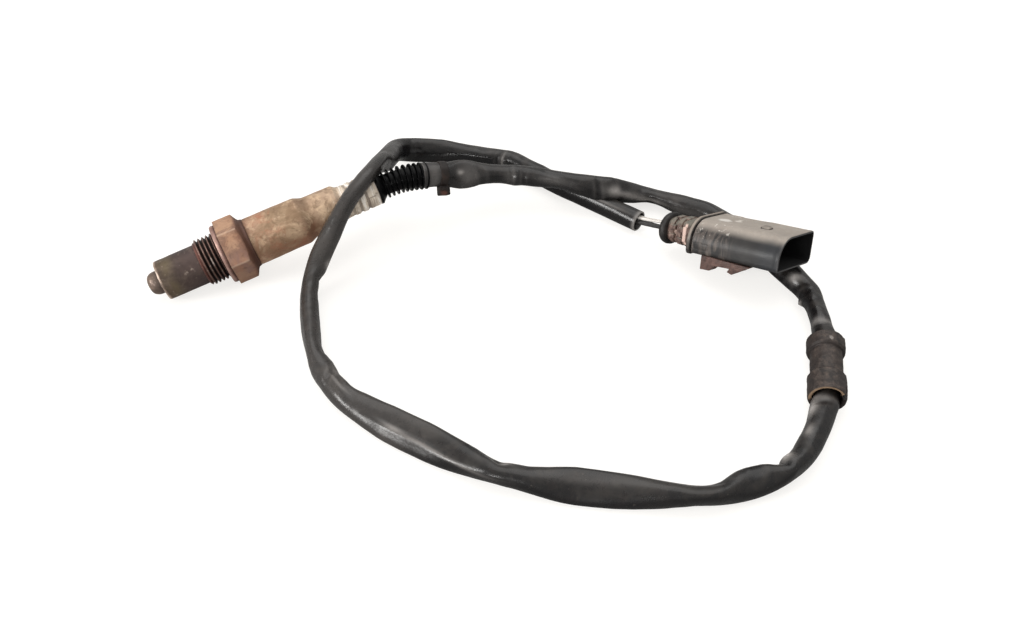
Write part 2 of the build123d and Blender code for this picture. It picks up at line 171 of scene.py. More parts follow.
# ---------------------------------------------------------------- materials
class Mat:
    def __init__(self, name):
        self.m = bpy.data.materials.new(name)
        self.m.use_nodes = True
        self.t = self.m.node_tree
        self.b = self.t.nodes["Principled BSDF"]
        self._o = None

    def node(self, kind, **kw):
        n = self.t.nodes.new(kind)
        for k, v in kw.items():
            setattr(n, k, v)
        return n

    def link(self, a, b):
        self.t.links.new(a, b)

    def put(self, sock, v):
        if isinstance(v, (int, float)):
            sock.default_value = v
        elif isinstance(v, tuple):
            sock.default_value = v
        else:
            self.link(v, sock)

    def obj(self):
        if self._o is None:
            self._o = self.node("ShaderNodeTexCoord").outputs["Object"]
        return self._o

    def stretched(self, scale):
        n = self.node("ShaderNodeMapping")
        n.inputs["Scale"].default_value = scale
        self.link(self.obj(), n.inputs["Vector"])
        return n.outputs[0]

    def noise(self, scale, detail=5, rough=0.55, dist=0.0, vec=None):
        n = self.node("ShaderNodeTexNoise")
        n.inputs["Scale"].default_value = scale
        n.inputs["Detail"].default_value = detail
        n.inputs["Roughness"].default_value = rough
        n.inputs["Distortion"].default_value = dist
        self.link(vec if vec is not None else self.obj(), n.inputs["Vector"])
        return n.outputs["Fac"]

    def voronoi(self, scale, feature="F1"):
        n = self.node("ShaderNodeTexVoronoi", feature=feature)
        n.inputs["Scale"].default_value = scale
        self.link(self.obj(), n.inputs["Vector"])
        return n.outputs["Distance"]

    def ramp(self, fac, stops, interp="LINEAR"):
        n = self.node("ShaderNodeValToRGB")
        n.color_ramp.interpolation = interp
        el = n.color_ramp.elements
        while len(el) < len(stops):
            el.new(0.5)
        for e, (p, c) in zip(el, stops):
            e.position = p
            e.color = c if len(c) == 4 else lin(c)
        self.link(fac, n.inputs[0])
        return n.outputs[0]

    def step(self, fac, lo, hi):
        n = self.node("ShaderNodeMapRange", interpolation_type="SMOOTHSTEP")
        n.inputs["From Min"].default_value = lo
        n.inputs["From Max"].default_value = hi
        self.link(fac, n.inputs["Value"])
        return n.outputs["Result"]

    def remap(self, fac, lo, hi, a, b):
        n = self.node("ShaderNodeMapRange")
        for k, v in (("From Min", lo), ("From Max", hi), ("To Min", a), ("To Max", b)):
            n.inputs[k].default_value = v
        self.link(fac, n.inputs["Value"])
        return n.outputs["Result"]

    def mix(self, fac, a, b, mode="MIX"):
        n = self.node("ShaderNodeMix", data_type="RGBA", blend_type=mode)
        self.put(n.inputs[0], fac)
        for s, v in ((n.inputs[6], a), (n.inputs[7], b)):
            if isinstance(v, tuple) and len(v) == 3:
                v = lin(v)
            self.put(s, v)
        return n.outputs[2]

    def math(self, op, a, b=0.0, clamp=False):
        n = self.node("ShaderNodeMath", operation=op, use_clamp=clamp)
        self.put(n.inputs[0], a)
        self.put(n.inputs[1], b)
        return n.outputs[0]

    def xyz(self, vec=None):
        n = self.node("ShaderNodeSeparateXYZ")
        self.link(vec if vec is not None else self.obj(), n.inputs[0])
        return n.outputs

    def up(self):
        g = self.node("ShaderNodeNewGeometry")
        return self.xyz(g.outputs["Normal"])[2]

    def attr(self, name):
        n = self.node("ShaderNodeAttribute", attribute_name=name)
        return n.outputs["Fac"]

    def spot(self, c, r, wob=0.9, scale=420):
        """1 inside a ragged patch of radius r about the point c, both in millimetres."""
        n = self.node("ShaderNodeVectorMath", operation="DISTANCE")
        self.link(self.obj(), n.inputs[0])
        n.inputs[1].default_value = tuple(v * 0.001 for v in c)
        d = self.math("ADD", n.outputs["Value"], self.math("MULTIPLY", self.math("SUBTRACT", self.noise(scale, 4), 0.5), r * 0.001 * wob))
        return self.math("SUBTRACT", 1.0, self.step(d, r * 0.0006, r * 0.00115))

    def bump(self, height, dist, strength=1.0, normal=None):
        n = self.node("ShaderNodeBump")
        n.inputs["Distance"].default_value = dist * 0.001
        n.inputs["Strength"].default_value = strength
        self.link(height, n.inputs["Height"])
        if normal is not None:
            self.link(normal, n.inputs["Normal"])
        return n.outputs[0]

    def done(self, color, rough, metallic=0.0, normal=None, spec=0.5, coat=0.0, coat_rough=0.2):
        self.put(self.b.inputs["Base Color"], color if not (isinstance(color, tuple) and len(color) == 3) else lin(color))
        self.put(self.b.inputs["Roughness"], rough)
        self.put(self.b.inputs["Metallic"], metallic)
        self.b.inputs["Specular IOR Level"].default_value = spec
        self.b.inputs["Coat Weight"].default_value = coat
        self.b.inputs["Coat Roughness"].default_value = coat_rough
        if normal is not None:
            self.link(normal, self.b.inputs["Normal"])
        return self.m


def plain_like(name, c0, c1, scale, rough, metallic=0.0, bump=0.03, spec=0.5):
    """Two tones mixed by noise, with fine grain."""
    g = Mat(name)
    f = g.noise(scale, 6, 0.6, 0.3)
    c = g.ramp(f, [(0.3, c0), (0.72, c1)])
    fine = g.noise(scale * 9, 3)
    return g.done(c, g.remap(fine, 0, 1, rough - 0.1, rough + 0.1), metallic, g.bump(fine, bump), spec)


def steel(name, zones, mott, rust, rough=0.5, metallic=0.55, grain=0.05, axial=0.0):
    """Used steel.  zones: (s mm, colour) along local X; mott: (dark, light) tones;
    rust: (colour, low, high) of a noise mask."""
    g = Mat(name)
    x = g.xyz()[0]
    s0, s1 = zones[0][0], zones[-1][0]
    wob = g.math("MULTIPLY", g.math("SUBTRACT", g.noise(90, 4), 0.5), 0.003)
    f = g.remap(g.math("ADD", x, wob), s0 * 0.001, s1 * 0.001, 0.0, 1.0)
    base = g.ramp(f, [((s - s0) / (s1 - s0), c) for s, c in zones])
    big = g.noise(120, 6, 0.62, 0.6)
    fine = g.noise(650, 5, 0.6, 0.2)
    c = g.mix(g.math("MULTIPLY", g.step(big, 0.45, 0.72), 0.75), base, mott[0])
    c = g.mix(g.math("MULTIPLY", g.step(g.noise(170, 6, 0.65, 0.9), 0.52, 0.75), 0.7), c, mott[1])
    mask = g.step(g.noise(75, 6, 0.68, 0.5), rust[1], rust[2])
    c = g.mix(g.math("MULTIPLY", mask, 0.8), c, rust[0])
    c = g.mix(g.math("MULTIPLY", g.step(fine, 0.5, 0.72), 0.28), c, (44, 34, 30))
    c = g.mix(g.math("MULTIPLY", g.step(g.noise(420, 5, 0.6), 0.58, 0.75), 0.30), c, (214, 196, 180))
    h = g.math("ADD", g.math("MULTIPLY", fine, 0.6), big)
    rg = g.remap(g.math("ADD", g.math("MULTIPLY", fine, 0.5), mask), 0.1, 1.2, rough - 0.1, rough + 0.2)
    return g.done(c, rg, g.remap(mask, 0, 1, metallic, metallic * 0.4), g.bump(h, grain))


# --------------------------------------------------- camera, floor and light
CAM = np.array([-19.6 - CX, -292.5, 240.6])
FWD = unit([0.3063, 0.6508, -0.6947])
RGT = unit([0.9048, -0.4258, 0.0])
UPV = np.cross(RGT, FWD)
cam = bpy.data.cameras.new("camera")
cam.lens, cam.sensor_width, cam.clip_start, cam.clip_end = 33.4, 36.0, 0.01, 30.0
cam_ob = bpy.data.objects.new("camera", cam)
SCN.collection.objects.link(cam_ob)
cm = Matrix.Identity(4)
for i in range(3):
    cm[i][0], cm[i][1], cm[i][2], cm[i][3] = RGT[i], UPV[i], -FWD[i], CAM[i] * 0.001
cam_ob.matrix_world = cm
SCN.camera = cam_ob

fl = Mat("floor_paper")
fn = fl.noise(3.0, 3)
fl.done(fl.ramp(fn, [(0.3, (0.300, 0.297, 0.292, 1)), (0.7, (0.315, 0.312, 0.307, 1))]), 0.95, spec=0.1)
fl.b.inputs["Emission Color"].default_value = (1.0, 0.985, 0.96, 1)      # a sheet lit from behind, so shadows stay pale
fl.b.inputs["Emission Strength"].default_value = 0.76
fm = bpy.data.meshes.new("floor")
fm.from_pydata([(-5, -5, -0.0002), (5, -5, -0.0002), (5, 5, -0.0002), (-5, 5, -0.0002)], [], [(0, 1, 2, 3)])
fm.materials.append(fl.m)
floor = bpy.data.objects.new("floor", fm)
SCN.collection.objects.link(floor)
own = bpy.data.collections.new("floor_only")
own.objects.link(floor)
floor.light_linking.receiver_collection = own

w = bpy.data.worlds.new("studio")
w.use_nodes = True
w.node_tree.nodes["Background"].inputs[0].default_value = (1.0, 0.985, 0.965, 1)
wt = w.node_tree
tc_, sx_, mr_ = wt.nodes.new("ShaderNodeTexCoord"), wt.nodes.new("ShaderNodeSeparateXYZ"), wt.nodes.new("ShaderNodeMapRange")
mr_.interpolation_type = "SMOOTHSTEP"
for k_, v_ in (("From Min", -0.05), ("From Max", 1.0), ("To Min", 0.56), ("To Max", 0.84)):
    mr_.inputs[k_].default_value = v_
wt.links.new(tc_.outputs["Generated"], sx_.inputs[0])
wt.links.new(sx_.outputs[2], mr_.inputs["Value"])
wt.links.new(mr_.outputs["Result"], wt.nodes["Background"].inputs[1])
SCN.world = w
SCN.view_settings.view_transform = "Standard"
SCN.view_settings.look = "None"


def area(name, pos, target, size, power, color=(1, 1, 1)):
    li = bpy.data.lights.new(name, "AREA")
    li.size, li.energy, li.color = size, power, color
    o = bpy.data.objects.new(name, li)
    SCN.collection.objects.link(o)
    o.location = pos
    d = Vector(target) - Vector(pos)
    o.rotation_euler = d.to_track_quat("-Z", "Y").to_euler()
    return o


FP = unit([FWD[0], FWD[1], 0])
mid = np.array([0.05, -0.05, 0.01])
kp = mid - RGT * 1.02 - FP * 0.46 + np.array([0, 0, 0.46])
area("key", kp, mid, 0.36, 9.5, (1.0, 0.99, 0.975))
area("window", mid + np.array([-0.74, -0.60, 0.26]) * 0.95, mid, 0.14, 2.0, (1.0, 0.99, 0.98))
kp2 = mid + RGT * 0.10 + FP * 0.45 + np.array([0, 0, 1.2])
area("top", kp2, mid, 1.5, 11.0, (1.0, 0.99, 0.98))
# the lit floor sheet's own light on the undersides
glow = area("floor_glow", (0.05, -0.05, -0.00005), (0.05, -0.05, 1.0), 1.4, 2.9, (1.0, 0.985, 0.96))
glow.visible_camera = False
glow.visible_glossy = False

# ------------------------------------------------------------ probe's frame
PITCH = math.radians(10.4)
cp, sp_ = math.cos(PITCH), math.sin(PITCH)
PO = np.array([-31.3 * cp - CX, 0.0, 7.5 * cp - 7.0 * sp_])
PM = Matrix(((cp, 0, -sp_, PO[0] * 0.001), (0, 1, 0, 0), (sp_, 0, cp, PO[2] * 0.001), (0, 0, 0, 1)))


def axis_pt(s):
    return PO + np.array([cp, 0, sp_]) * s


# ------------------------------------------------- cable sleeve: its line
ROUTE = [(79.6, -0.9, 23.6), (84.5, -1.4, 22.7), (89.3, -1.8, 21.6), (99.0, -1.3, 18.6), (114.1, -3.3, 15.2), (130.2, -11.2, 13.4),
         (144.3, -23.0, 12.1), (161.5, -25.2, 5.5), (175.2, -34.6, 3.8), (187.3, -49.5, 4.3), (191.6, -69.6, 4.3),
         (193.0, -92.6, 4.2), (188.4, -112.4, 4.4), (177.9, -128.3, 6.4), (167.9, -142.9, 6.6), (155.8, -155.7, 4.7),
         (139.8, -166.2, 4.1), (122.1, -168.1, 4.3), (103.3, -164.5, 4.2), (85.2, -153.9, 4.3), (64.5, -141.3, 4.2),
         (46.8, -126.0, 4.3), (33.2, -105.5, 4.2), (21.7, -86.9, 4.3), (16.8, -69.0, 4.2), (16.5, -51.6, 4.3),
         (20.3, -34.0, 3.8), (25.7, -21.7, 7.2), (35.2, -14.8, 16.3), (44.5, -9.6, 25.4), (54.2, -5.0, 31.3),
         (61.8, 4.8, 28.9), (67.6, 16.0, 23.8), (73.0, 26.5, 18.6), (78.2, 35.9, 13.7), (83.5, 43.4, 9.0),
         (90.3, 45.4, 5.4), (99.0, 42.2, 4.3), (108.7, 36.4, 4.2), (120.6, 28.8, 4.3), (129.7, 17.6, 4.2),
         (134.1, 1.2, 4.3), (142.3, -16.4, 4.2), (149.9, -31.3, 4.3), (154.8, -41.2, 4.2)]
cu = bpy.data.curves.new("route_line", "CURVE")
cu.dimensions = "3D"
cu.resolution_u = 24
spl = cu.splines.new("NURBS")
spl.points.add(len(ROUTE) - 1)
for i, p in enumerate(ROUTE):
    spl.points[i].co = ((p[0] - CX) * 0.001, p[1] * 0.001, p[2] * 0.001, 1.0)
spl.order_u = 3
spl.use_endpoint_u = True
tmp = bpy.data.objects.new("route_line", cu)
lm = bpy.data.meshes.new_from_object(tmp)
line = np.array([v.co[:] for v in lm.vertices]) * 1000.0
bpy.data.objects.remove(tmp)
bpy.data.meshes.remove(lm)
bpy.data.curves.remove(cu)
acc = np.r_[0, np.cumsum(np.linalg.norm(np.diff(line, axis=0), axis=1))]
LEN = acc[-1]
NS = 1180
SS = np.linspace(0, LEN, NS)
DS = SS[1]
P = np.stack([np.interp(SS, acc, line[:, k]) for k in range(3)], -1)
T = np.gradient(P, axis=0)
T = unit(np.stack([gauss(T[:, k], 2.0) for k in range(3)], -1))
ZZ = np.array([0, 0, 1.0])
N = unit(ZZ - T * (T @ ZZ)[:, None])
B = np.cross(N, T)
view = unit(CAM - P)
vB, vN = (view * B).sum(1), (view * N).sum(1)
th_v = np.unwrap(np.arctan2(vN, vB))          # angle of the section's side that faces the front
beta = th_v + math.pi / 2

# the sleeve's two edges seen from the front: station, millimetres above and below its line
EDGE = [(0, 4.9, 4.95), (3, 4.85, 4.75), (6, 4.8, 4.7), (9, 4.75, 4.65), (12, 5.2, 5.34), (15, 5.6, 5.8), (18, 5.6, 5.7), (21, 5.15, 5.2),
        (24, 4.5, 4.26), (27, 4.1, 3.91), (30, 3.9, 3.67), (33, 3.9, 3.6), (36, 4.0, 3.85), (39, 4.2, 4.34), (42, 4.1, 3.9), (48, 4.0, 4.0),
        (51, 3.9, 3.8), (54, 3.66, 3.6), (57, 3.7, 3.45), (60, 3.82, 3.65), (63, 4.0, 4.0), (66, 4.3, 4.3), (69, 4.54, 4.6), (72, 4.71, 5.0),
        (75, 4.88, 5.2), (78, 5.14, 5.2), (81, 4.95, 4.9), (84, 4.68, 4.6), (87, 4.36, 4.35), (90, 4.08, 4.0), (93, 3.67, 3.3), (96, 3.43, 2.73),
        (99, 3.14, 2.85), (102, 3.05, 3.34), (105, 3.01, 4.2), (108, 3.13, 4.77), (111, 3.12, 5.1), (114, 2.95, 5.2), (120, 3.02, 5.1),
        (123, 2.76, 5.0), (126, 2.39, 5.0), (129, 2.22, 5.0), (132, 2.25, 5.0), (135, 2.72, 4.9), (138, 3.2, 4.8), (150, 3.4, 4.9), (156, 3.3, 5.6),
        (159, 3.2, 6.6), (162, 3.1, 6.7), (165, 3.0, 6.55), (168, 3.0, 6.3), (171, 3.01, 6.02), (174, 3.14, 5.61), (177, 3.42, 5.02),
        (180, 3.81, 4.69), (182, 3.8, 4.5), (183.2, 3.6, 5.7), (184.4, 3.5, 5.85), (185.1, 3.35, 4.35), (186, 3.21, 4.31), (189, 3.01, 4.1), (192, 2.92, 4.14), (195, 3.04, 4.08), (198, 3.2, 3.94),
        (201, 3.3, 4.06), (205, 4.1, 4.1), (234, 4.1, 4.1), (237, 4.6, 4.6), (240, 4.22, 4.6), (243, 4.1, 4.4), (246, 4.01, 4.1), (249, 3.9, 4.0),
        (252, 3.85, 3.99), (255, 3.91, 4.1), (258, 3.89, 3.89), (261, 3.93, 3.5), (264, 3.88, 3.3), (266, 3.88, 3.6), (267.6, 3.88, 3.5), (268.4, 3.9, 2.2),
        (270, 4.0, 1.97), (271.5, 4.06, 2.7), (273, 4.13, 3.61), (276, 4.27, 4.82), (279, 4.32, 5.23), (282, 4.31, 5.46), (285, 4.21, 5.24),
        (288, 4.05, 4.38), (291, 3.83, 3.11), (294, 3.61, 2.68), (297, 3.34, 2.65), (300, 3.19, 2.9), (303, 3.46, 3.31), (306, 3.73, 3.7),
        (309, 4.24, 4.0), (312, 4.61, 4.31), (315, 4.88, 4.7), (318, 5.19, 5.04), (321, 5.34, 5.28), (324, 5.53, 5.47), (330, 5.53, 5.84),
        (336, 5.45, 6.06), (339, 5.28, 5.79), (342, 4.98, 5.38), (345, 4.59, 4.87), (348, 4.2, 4.45), (351, 3.91, 3.97), (354, 3.64, 3.94),
        (357, 3.65, 3.77), (360, 3.59, 3.22), (363, 3.69, 3.6), (366, 3.92, 4.23), (369, 4.12, 4.95), (372, 4.44, 5.34), (375, 4.77, 5.64),
        (378, 5.1, 5.85), (381, 5.34, 6.03), (384, 5.55, 6.21), (387, 5.6, 6.3), (393, 5.83, 6.09), (399, 5.88, 5.91), (402, 5.74, 5.77),
        (405, 5.47, 5.47), (408, 5.33, 5.2), (411, 5.19, 4.86), (414, 5.2, 4.46), (417, 5.25, 3.76), (420, 5.3, 3.15), (423, 5.25, 3.2),
        (426, 5.15, 3.04), (429, 5.0, 2.79), (432, 5.05, 3.18), (435, 4.95, 3.37), (438, 4.5, 2.91), (441, 3.9, 2.38), (444, 3.6, 2.25),
        (447, 3.45, 2.4), (450, 3.35, 2.9), (453, 3.35, 3.32), (459, 3.25, 3.61), (465, 3.29, 3.51), (468, 3.27, 3.42), (471, 3.4, 3.03),
        (474, 3.34, 2.79), (477, 3.39, 2.88), (480, 3.48, 2.4), (481.5, 3.55, 3.2), (483, 3.63, 3.82), (486, 3.86, 3.9), (489, 4.05, 3.86),
        (495, 3.85, 3.83), (498, 3.75, 3.83), (501, 3.6, 3.61), (504, 3.45, 3.4), (510, 3.4, 3.15), (513, 3.46, 3.01), (516, 3.32, 3.2),
        (525, 3.1, 3.1), (531, 2.95, 3.2), (537, 2.88, 3.07), (540, 2.74, 3.17), (543, 2.64, 4.14), (546, 2.54, 5.0), (549, 2.56, 6.01),
        (555, 2.44, 6.05), (567, 2.55, 5.98), (573, 2.8, 5.94), (579, 3.27, 6.02), (585, 3.83, 6.14), (591, 4.21, 6.2), (597, 4.27, 6.0),
        (603, 4.18, 5.7), (606, 3.83, 5.5), (609, 3.34, 5.4), (612, 2.99, 5.3), (615, 2.63, 5.2), (621, 2.23, 5.3), (624, 2.28, 5.2),
        (627, 2.49, 5.1), (630, 2.79, 4.9), (633, 3.26, 4.7), (636, 3.38, 4.6), (639, 3.29, 4.5), (642, 3.19, 4.4), (645, 3.35, 4.4),
        (648, 3.72, 4.3), (651, 4.04, 4.3), (666, 4.1, 4.14), (672, 4.1, 3.94), (681, 4.15, 3.99), (690, 4.2, 4.07), (696, 4.32, 4.12),
        (701.7, 4.3, 4.1)]
es_, eu_, el_ = (np.array(q) for q in zip(*EDGE))
UPE = gauss(np.interp(SS, es_, eu_), 1.0)
LOE = gauss(np.interp(SS, es_, el_), 1.0)
hx = (UPE + LOE) / 2
PER = 2 * math.pi * 4.25


def half_b(a):
    """Half thickness of a flattened tube of the sleeve's own girth."""
    lo, hi = 1.2, 6.4
    for _ in range(40):
        m = (lo + hi) / 2
        per = math.pi * (3 * (a + m) - math.sqrt((3 * a + m) * (a + 3 * m)))
        lo, hi = (m, hi) if per < PER else (lo, m)
    return (lo + hi) / 2


rnd = smooth01((SS - (LEN - 62)) / 45)        # round again near the cut end
lead = 1 - smooth01((SS - 6) / 8)             # and over the boot's tail
clipz = smooth01((SS - 198) / 7) * (1 - smooth01((SS - 233) / 5))
PHI = beta.copy()
A_ = np.clip(gauss(hx, 2.5), 2.6, 6.2)
ta_ = np.linspace(2.5, 6.3, 80)
B_ = np.clip(np.interp(A_, ta_, [half_b(a) for a in ta_]), 2.4, 5.5)
kk = np.maximum(np.maximum(rnd, lead), clipz)
B_ = gauss(B_ * (1 - kk) + A_ * kk, 3.0)
C = P.copy()

NT = 52
th = np.linspace(0, 2 * math.pi, NT, endpoint=False)
TH = np.ones(NS)[:, None] * th[None]
SG = SS[:, None] * np.ones(NT)[None]
loc = TH - PHI[:, None]
ex = 2.0 + 0.5 * np.clip(A_ / B_ - 1, 0, 1)[:, None]
ca, sa = np.abs(np.cos(loc)), np.abs(np.sin(loc))
RAD = ((ca / A_[:, None]) ** ex + (sa / B_[:, None]) ** ex) ** (-1 / ex)
REL = (TH - th_v[:, None] + math.pi) % (2 * math.pi) - math.pi     # 0 faces the front

# folds and dents: station, angle from the front, depth, half lengths, slant (mm per radian)
DENTS = [(23.5, 0.2, 0.35, 1.8, 1.1, 1), (39.2, 0.0, -0.45, 1.2, 1.3, 0.4), (36.6, 0.0, 0.3, 1.0, 1.2, 0.4), (42.2, 0.1, 0.25, 1.1, 1.2, 0),
         (72.6, 0.1, 0.75, 1.3, 1.0, 1.0), (77.6, 0.0, -0.55, 2.0, 0.9, 0.6), (84.0, -0.5, 0.4, 3.0, 0.5, -1), (96.5, 0.6, 0.4, 2.5, 0.7, 1),
         (104.0, -0.1, 0.3, 3.0, 0.7, 2), (128.0, -1.2, 0.4, 3.0, 0.6, 0), (168.5, 0.4, 0.35, 2.0, 0.8, 1.0), (173.8, 0.0, -0.45, 1.8, 0.9, -0.6),
         (178.6, 0.2, 0.45, 1.8, 0.9, -0.6), (184.0, 1.5, -1.5, 0.85, 0.22, 0), (190.0, -0.3, 0.3, 2.6, 0.4, 0.8), (203.0, 0.0, 0.25, 1.0, 2.5, 0.2),
         (239.5, 0.5, 0.35, 1.2, 1.0, 1), (265.0, 1.1, -0.45, 1.8, 0.5, 0), (269.8, 1.25, 1.0, 1.2, 0.7, 0.8), (274.5, 1.0, -0.35, 1.6, 0.6, 0),
         (292.0, 1.1, 0.4, 2.6, 0.5, 2), (300.5, 1.2, -0.3, 2.5, 0.4, 2), (359.5, 1.05, 0.85, 2.6, 0.45, 3), (363.5, 0.7, -0.4, 2.6, 0.35, 4),
         (421.0, 0.9, -0.55, 3.0, 0.45, 2.0), (429.0, 0.6, 0.9, 1.5, 0.7, 3.0), (433.5, 1.1, -0.5, 2.0, 0.45, 1), (441.5, 0.9, 0.5, 2.0, 0.5, 1),
         (480.0, 1.35, 1.0, 0.9, 0.6, 0.6), (485.0, 1.1, -0.4, 2.0, 0.5, 0.5), (510.0, 0.5, 0.25, 3.0, 0.5, 2), (545.0, 0.6, 0.45, 1.8, 0.9, 1.0),
         (621.5, -1.1, 0.5, 2.6, 0.6, 0), (629.4, 0.1, 0.6, 1.0, 1.2, -0.3), (632.6, 0.0, -0.45, 1.2, 1.1, 0), (641.0, -0.9, 0.35, 2.0, 0.6, 0)]
disp = np.zeros_like(RAD)
wear_and_painted_highlight = np.zeros_like(RAD)
for s0, a0, dep, ls, la, sl in DENTS:
    i0, i1 = np.searchsorted(SS, [s0 - 4 * ls - abs(sl) * 2, s0 + 4 * ls + abs(sl) * 2])
    da = (REL[i0:i1] - a0 + math.pi) % (2 * math.pi) - math.pi
    ds = SG[i0:i1] - s0 - sl * da
    g_ = np.exp(-(ds / ls) ** 2) * np.exp(-(da / la) ** 2)
    disp[i0:i1] -= dep * g_
    edge = np.exp(-((np.abs(ds) - ls * 1.25) / (0.5 * ls)) ** 2) * np.exp(-(da / la) ** 2)
    # each dent's rim gets a little paleness too: partly rubbing, partly painted highlight along the crease
    wear_and_painted_highlight[i0:i1] += np.clip(abs(dep), 0, 1.0) * edge * 0.12
for s0, s1, a0, a1, dep in ((45, 74, -1.1, 0.9, 0.35), (112, 150, -0.5, 0.7, 0.25), (412, 436, 0.2, 1.2, 0.35), (548, 600, 0.5, -0.3, 0.22)):
    f = (SG - s0) / (s1 - s0)
    win = smooth01(f / 0.25) * smooth01((1 - f) / 0.25) * ((f > 0) & (f < 1))
    da = (REL - (a0 + (a1 - a0) * np.clip(f, 0, 1)) + math.pi) % (2 * math.pi) - math.pi
    disp -= dep * win * np.exp(-(da / 0.35) ** 2)
    disp += 0.5 * dep * win * np.exp(-((da - 0.5) / 0.3) ** 2)
# rounded ridges that catch the light along the low run and the last stretch
for s0, s1, a0, a1, hgt_, wd in ((350, 414, -0.55, -0.50, 0.55, 0.42), (414, 436, 0.15, 0.65, 0.4, 0.25), (650, 698, -0.35, -0.25, 0.25, 0.4), (292, 350, 0.7, 0.2, 0.3, 0.5)):
    f = (SG - s0) / (s1 - s0)
    win = smooth01(f / 0.3) * smooth01((1 - f) / 0.3) * ((f > 0) & (f < 1))
    da = (REL - (a0 + (a1 - a0) * np.clip(f, 0, 1)) + math.pi) % (2 * math.pi) - math.pi
    disp += hgt_ * win * np.exp(-(da / wd) ** 2)
fz = np.stack([SG.reshape(-1) * 0.35, np.cos(TH).reshape(-1) * 3.0, np.sin(TH).reshape(-1) * 3.0], -1)
lump = nz(fz, 0.30, 1).reshape(RAD.shape) * 0.22 + nz(fz * np.array([2.2, 1, 1]), 0.8, 2).reshape(RAD.shape) * 0.07
calm = 1 - 0.7 * smooth01((SG - 286) / 12) * (1 - smooth01((SG - 408) / 12))
endfade = smooth01((SG - 1.0) / 6) * smooth01((LEN - SG) / 8)
disp = (disp + lump * calm * (1 - 0.5 * rnd[:, None])) * endfade
RAD2 = np.maximum(RAD + disp, 1.6)
# rubbed and dusty places, and painted highlight streaks and spots: station, angle from the front, half lengths, amount
for s0, a0, ls, la, am in ((201.2, 0.15, 1.5, 0.9, 0.32), (201.6, -0.9, 1.0, 0.6, 0.22), (242.0, 1.0, 3.6, 0.5, 0.75), (237.0, 0.4, 1.2, 1.2, 0.35), (253.0, 0.55, 2.6, 0.30, 0.5), (266.3, 1.2, 1.6, 0.6, 1.0),
                           (271.5, 1.1, 1.0, 0.4, 0.4), (300.0, 1.35, 3.2, 0.32, 0.9), (79.0, 0.05, 2.3, 0.5, 0.75), (86.5, 0.25, 5.5, 0.30, 0.5), (96.0, 0.48, 7.0, 0.22, 0.4), (173.8, 0.0, 2.0, 0.45, 0.75),
                           (184.0, 1.5, 0.8, 0.3, 0.6), (423.0, 0.45, 4.5, 0.10, 0.55), (430.0, 1.2, 2.5, 0.22, 0.3), (486.5, 1.2, 2.2, 0.4, 0.8), (632.4, 0.1, 0.7, 0.7, 0.45), (358.5, 1.25, 1.6, 0.18, 0.7),
                           (397.0, -0.25, 4.0, 0.26, 0.50), (387.0, -0.45, 9.0, 0.16, 0.45), (372.0, -0.50, 11.0, 0.12, 0.30), (14.0, -0.25, 1.5, 0.3, 0.6), (17.5, 0.1, 4.5, 1.2, 0.22), (3.0, 0.3, 2.5, 1.2, 0.20),
                           (682.0, -0.28, 13.0, 0.12, 0.40), (132.0, 0.1, 4.0, 0.22, 0.40), (36.0, 0.2, 3.0, 0.6, 0.12), (55.0, 0.1, 7.0, 0.4, 0.16), (115.0, 0.5, 9.0, 0.5, 0.14), (330.0, 0.7, 26.0, 0.5, 0.10)):
    da = (REL - a0 + math.pi) % (2 * math.pi) - math.pi
    wear_and_painted_highlight += am * np.exp(-((SG - s0) / ls) ** 2 - (da / la) ** 2)
wear_and_painted_highlight += 0.5 * np.exp(-((LEN - SG) / 0.9) ** 2)


def tube_rows(C_, B__, N__, R_):
    return C_[:, None, :] + (np.cos(th)[None] * R_)[..., None] * B__[:, None, :] + (np.sin(th)[None] * R_)[..., None] * N__[:, None, :]


rows = tube_rows(C, B, N, RAD2)
# its edges, seen from the front, are brought onto the two measured lines
vper = unit(view - T * (view * T).sum(1)[:, None])
n3 = -np.cross(T, vper)
lat = ((rows - P[:, None, :]) * n3[:, None, :]).sum(-1)
lhi, llo = lat.max(1), lat.min(1)
nlat = (lat - ((lhi + llo) / 2)[:, None]) * ((UPE + LOE) / (lhi - llo))[:, None] + ((UPE - LOE) / 2)[:, None]
rows = rows + (nlat - lat)[..., None] * n3[:, None, :]
# the tube's underside is brought onto the floor along the line of sight
onfloor = 1 - smooth01((P[:, 2] - 4.7) / 2.5)
zmin = rows[..., 2].min(1)
need = np.where(SS < 60, np.maximum(0.03 - zmin, 0), (0.03 - zmin) * onfloor + np.maximum(0.03 - zmin, 0) * (1 - onfloor))
need = gauss(need, 3.0)
rows = rows + (view * (need / view[:, 2])[:, None])[:, None, :]
rows[..., 2] = np.maximum(rows[..., 2], 0.02)
C = rows.mean(1)
pre = np.array([rows[0] - T[0] * 1.2, rows[0] - T[0] * 0.6])
q0, c0_ = pre[0], C[0] - T[0] * 1.2
head = [c0_ + T[0] * 7.0 + (q0 - c0_) * 0.66, c0_ + T[0] * 0.3 + (q0 - c0_) * 0.72, c0_ + (q0 - c0_) * 0.78, c0_ - T[0] * 0.1 + (q0 - c0_) * 0.88, c0_ - T[0] * 0.02 + (q0 - c0_) * 0.97]
tail = [C[-1] + (rows[-1] - C[-1]) * 0.97 + T[-1] * 0.15, C[-1] + (rows[-1] - C[-1]) * 0.88 + T[-1] * 0.18, C[-1] + (rows[-1] - C[-1]) * 0.82, C[-1] + (rows[-1] - C[-1]) * 0.81 - T[-1] * 7.0]
allr = np.concatenate([np.array(head), pre, rows, np.array(tail)])
allr[..., 2] = np.maximum(allr[..., 2], 0.02)
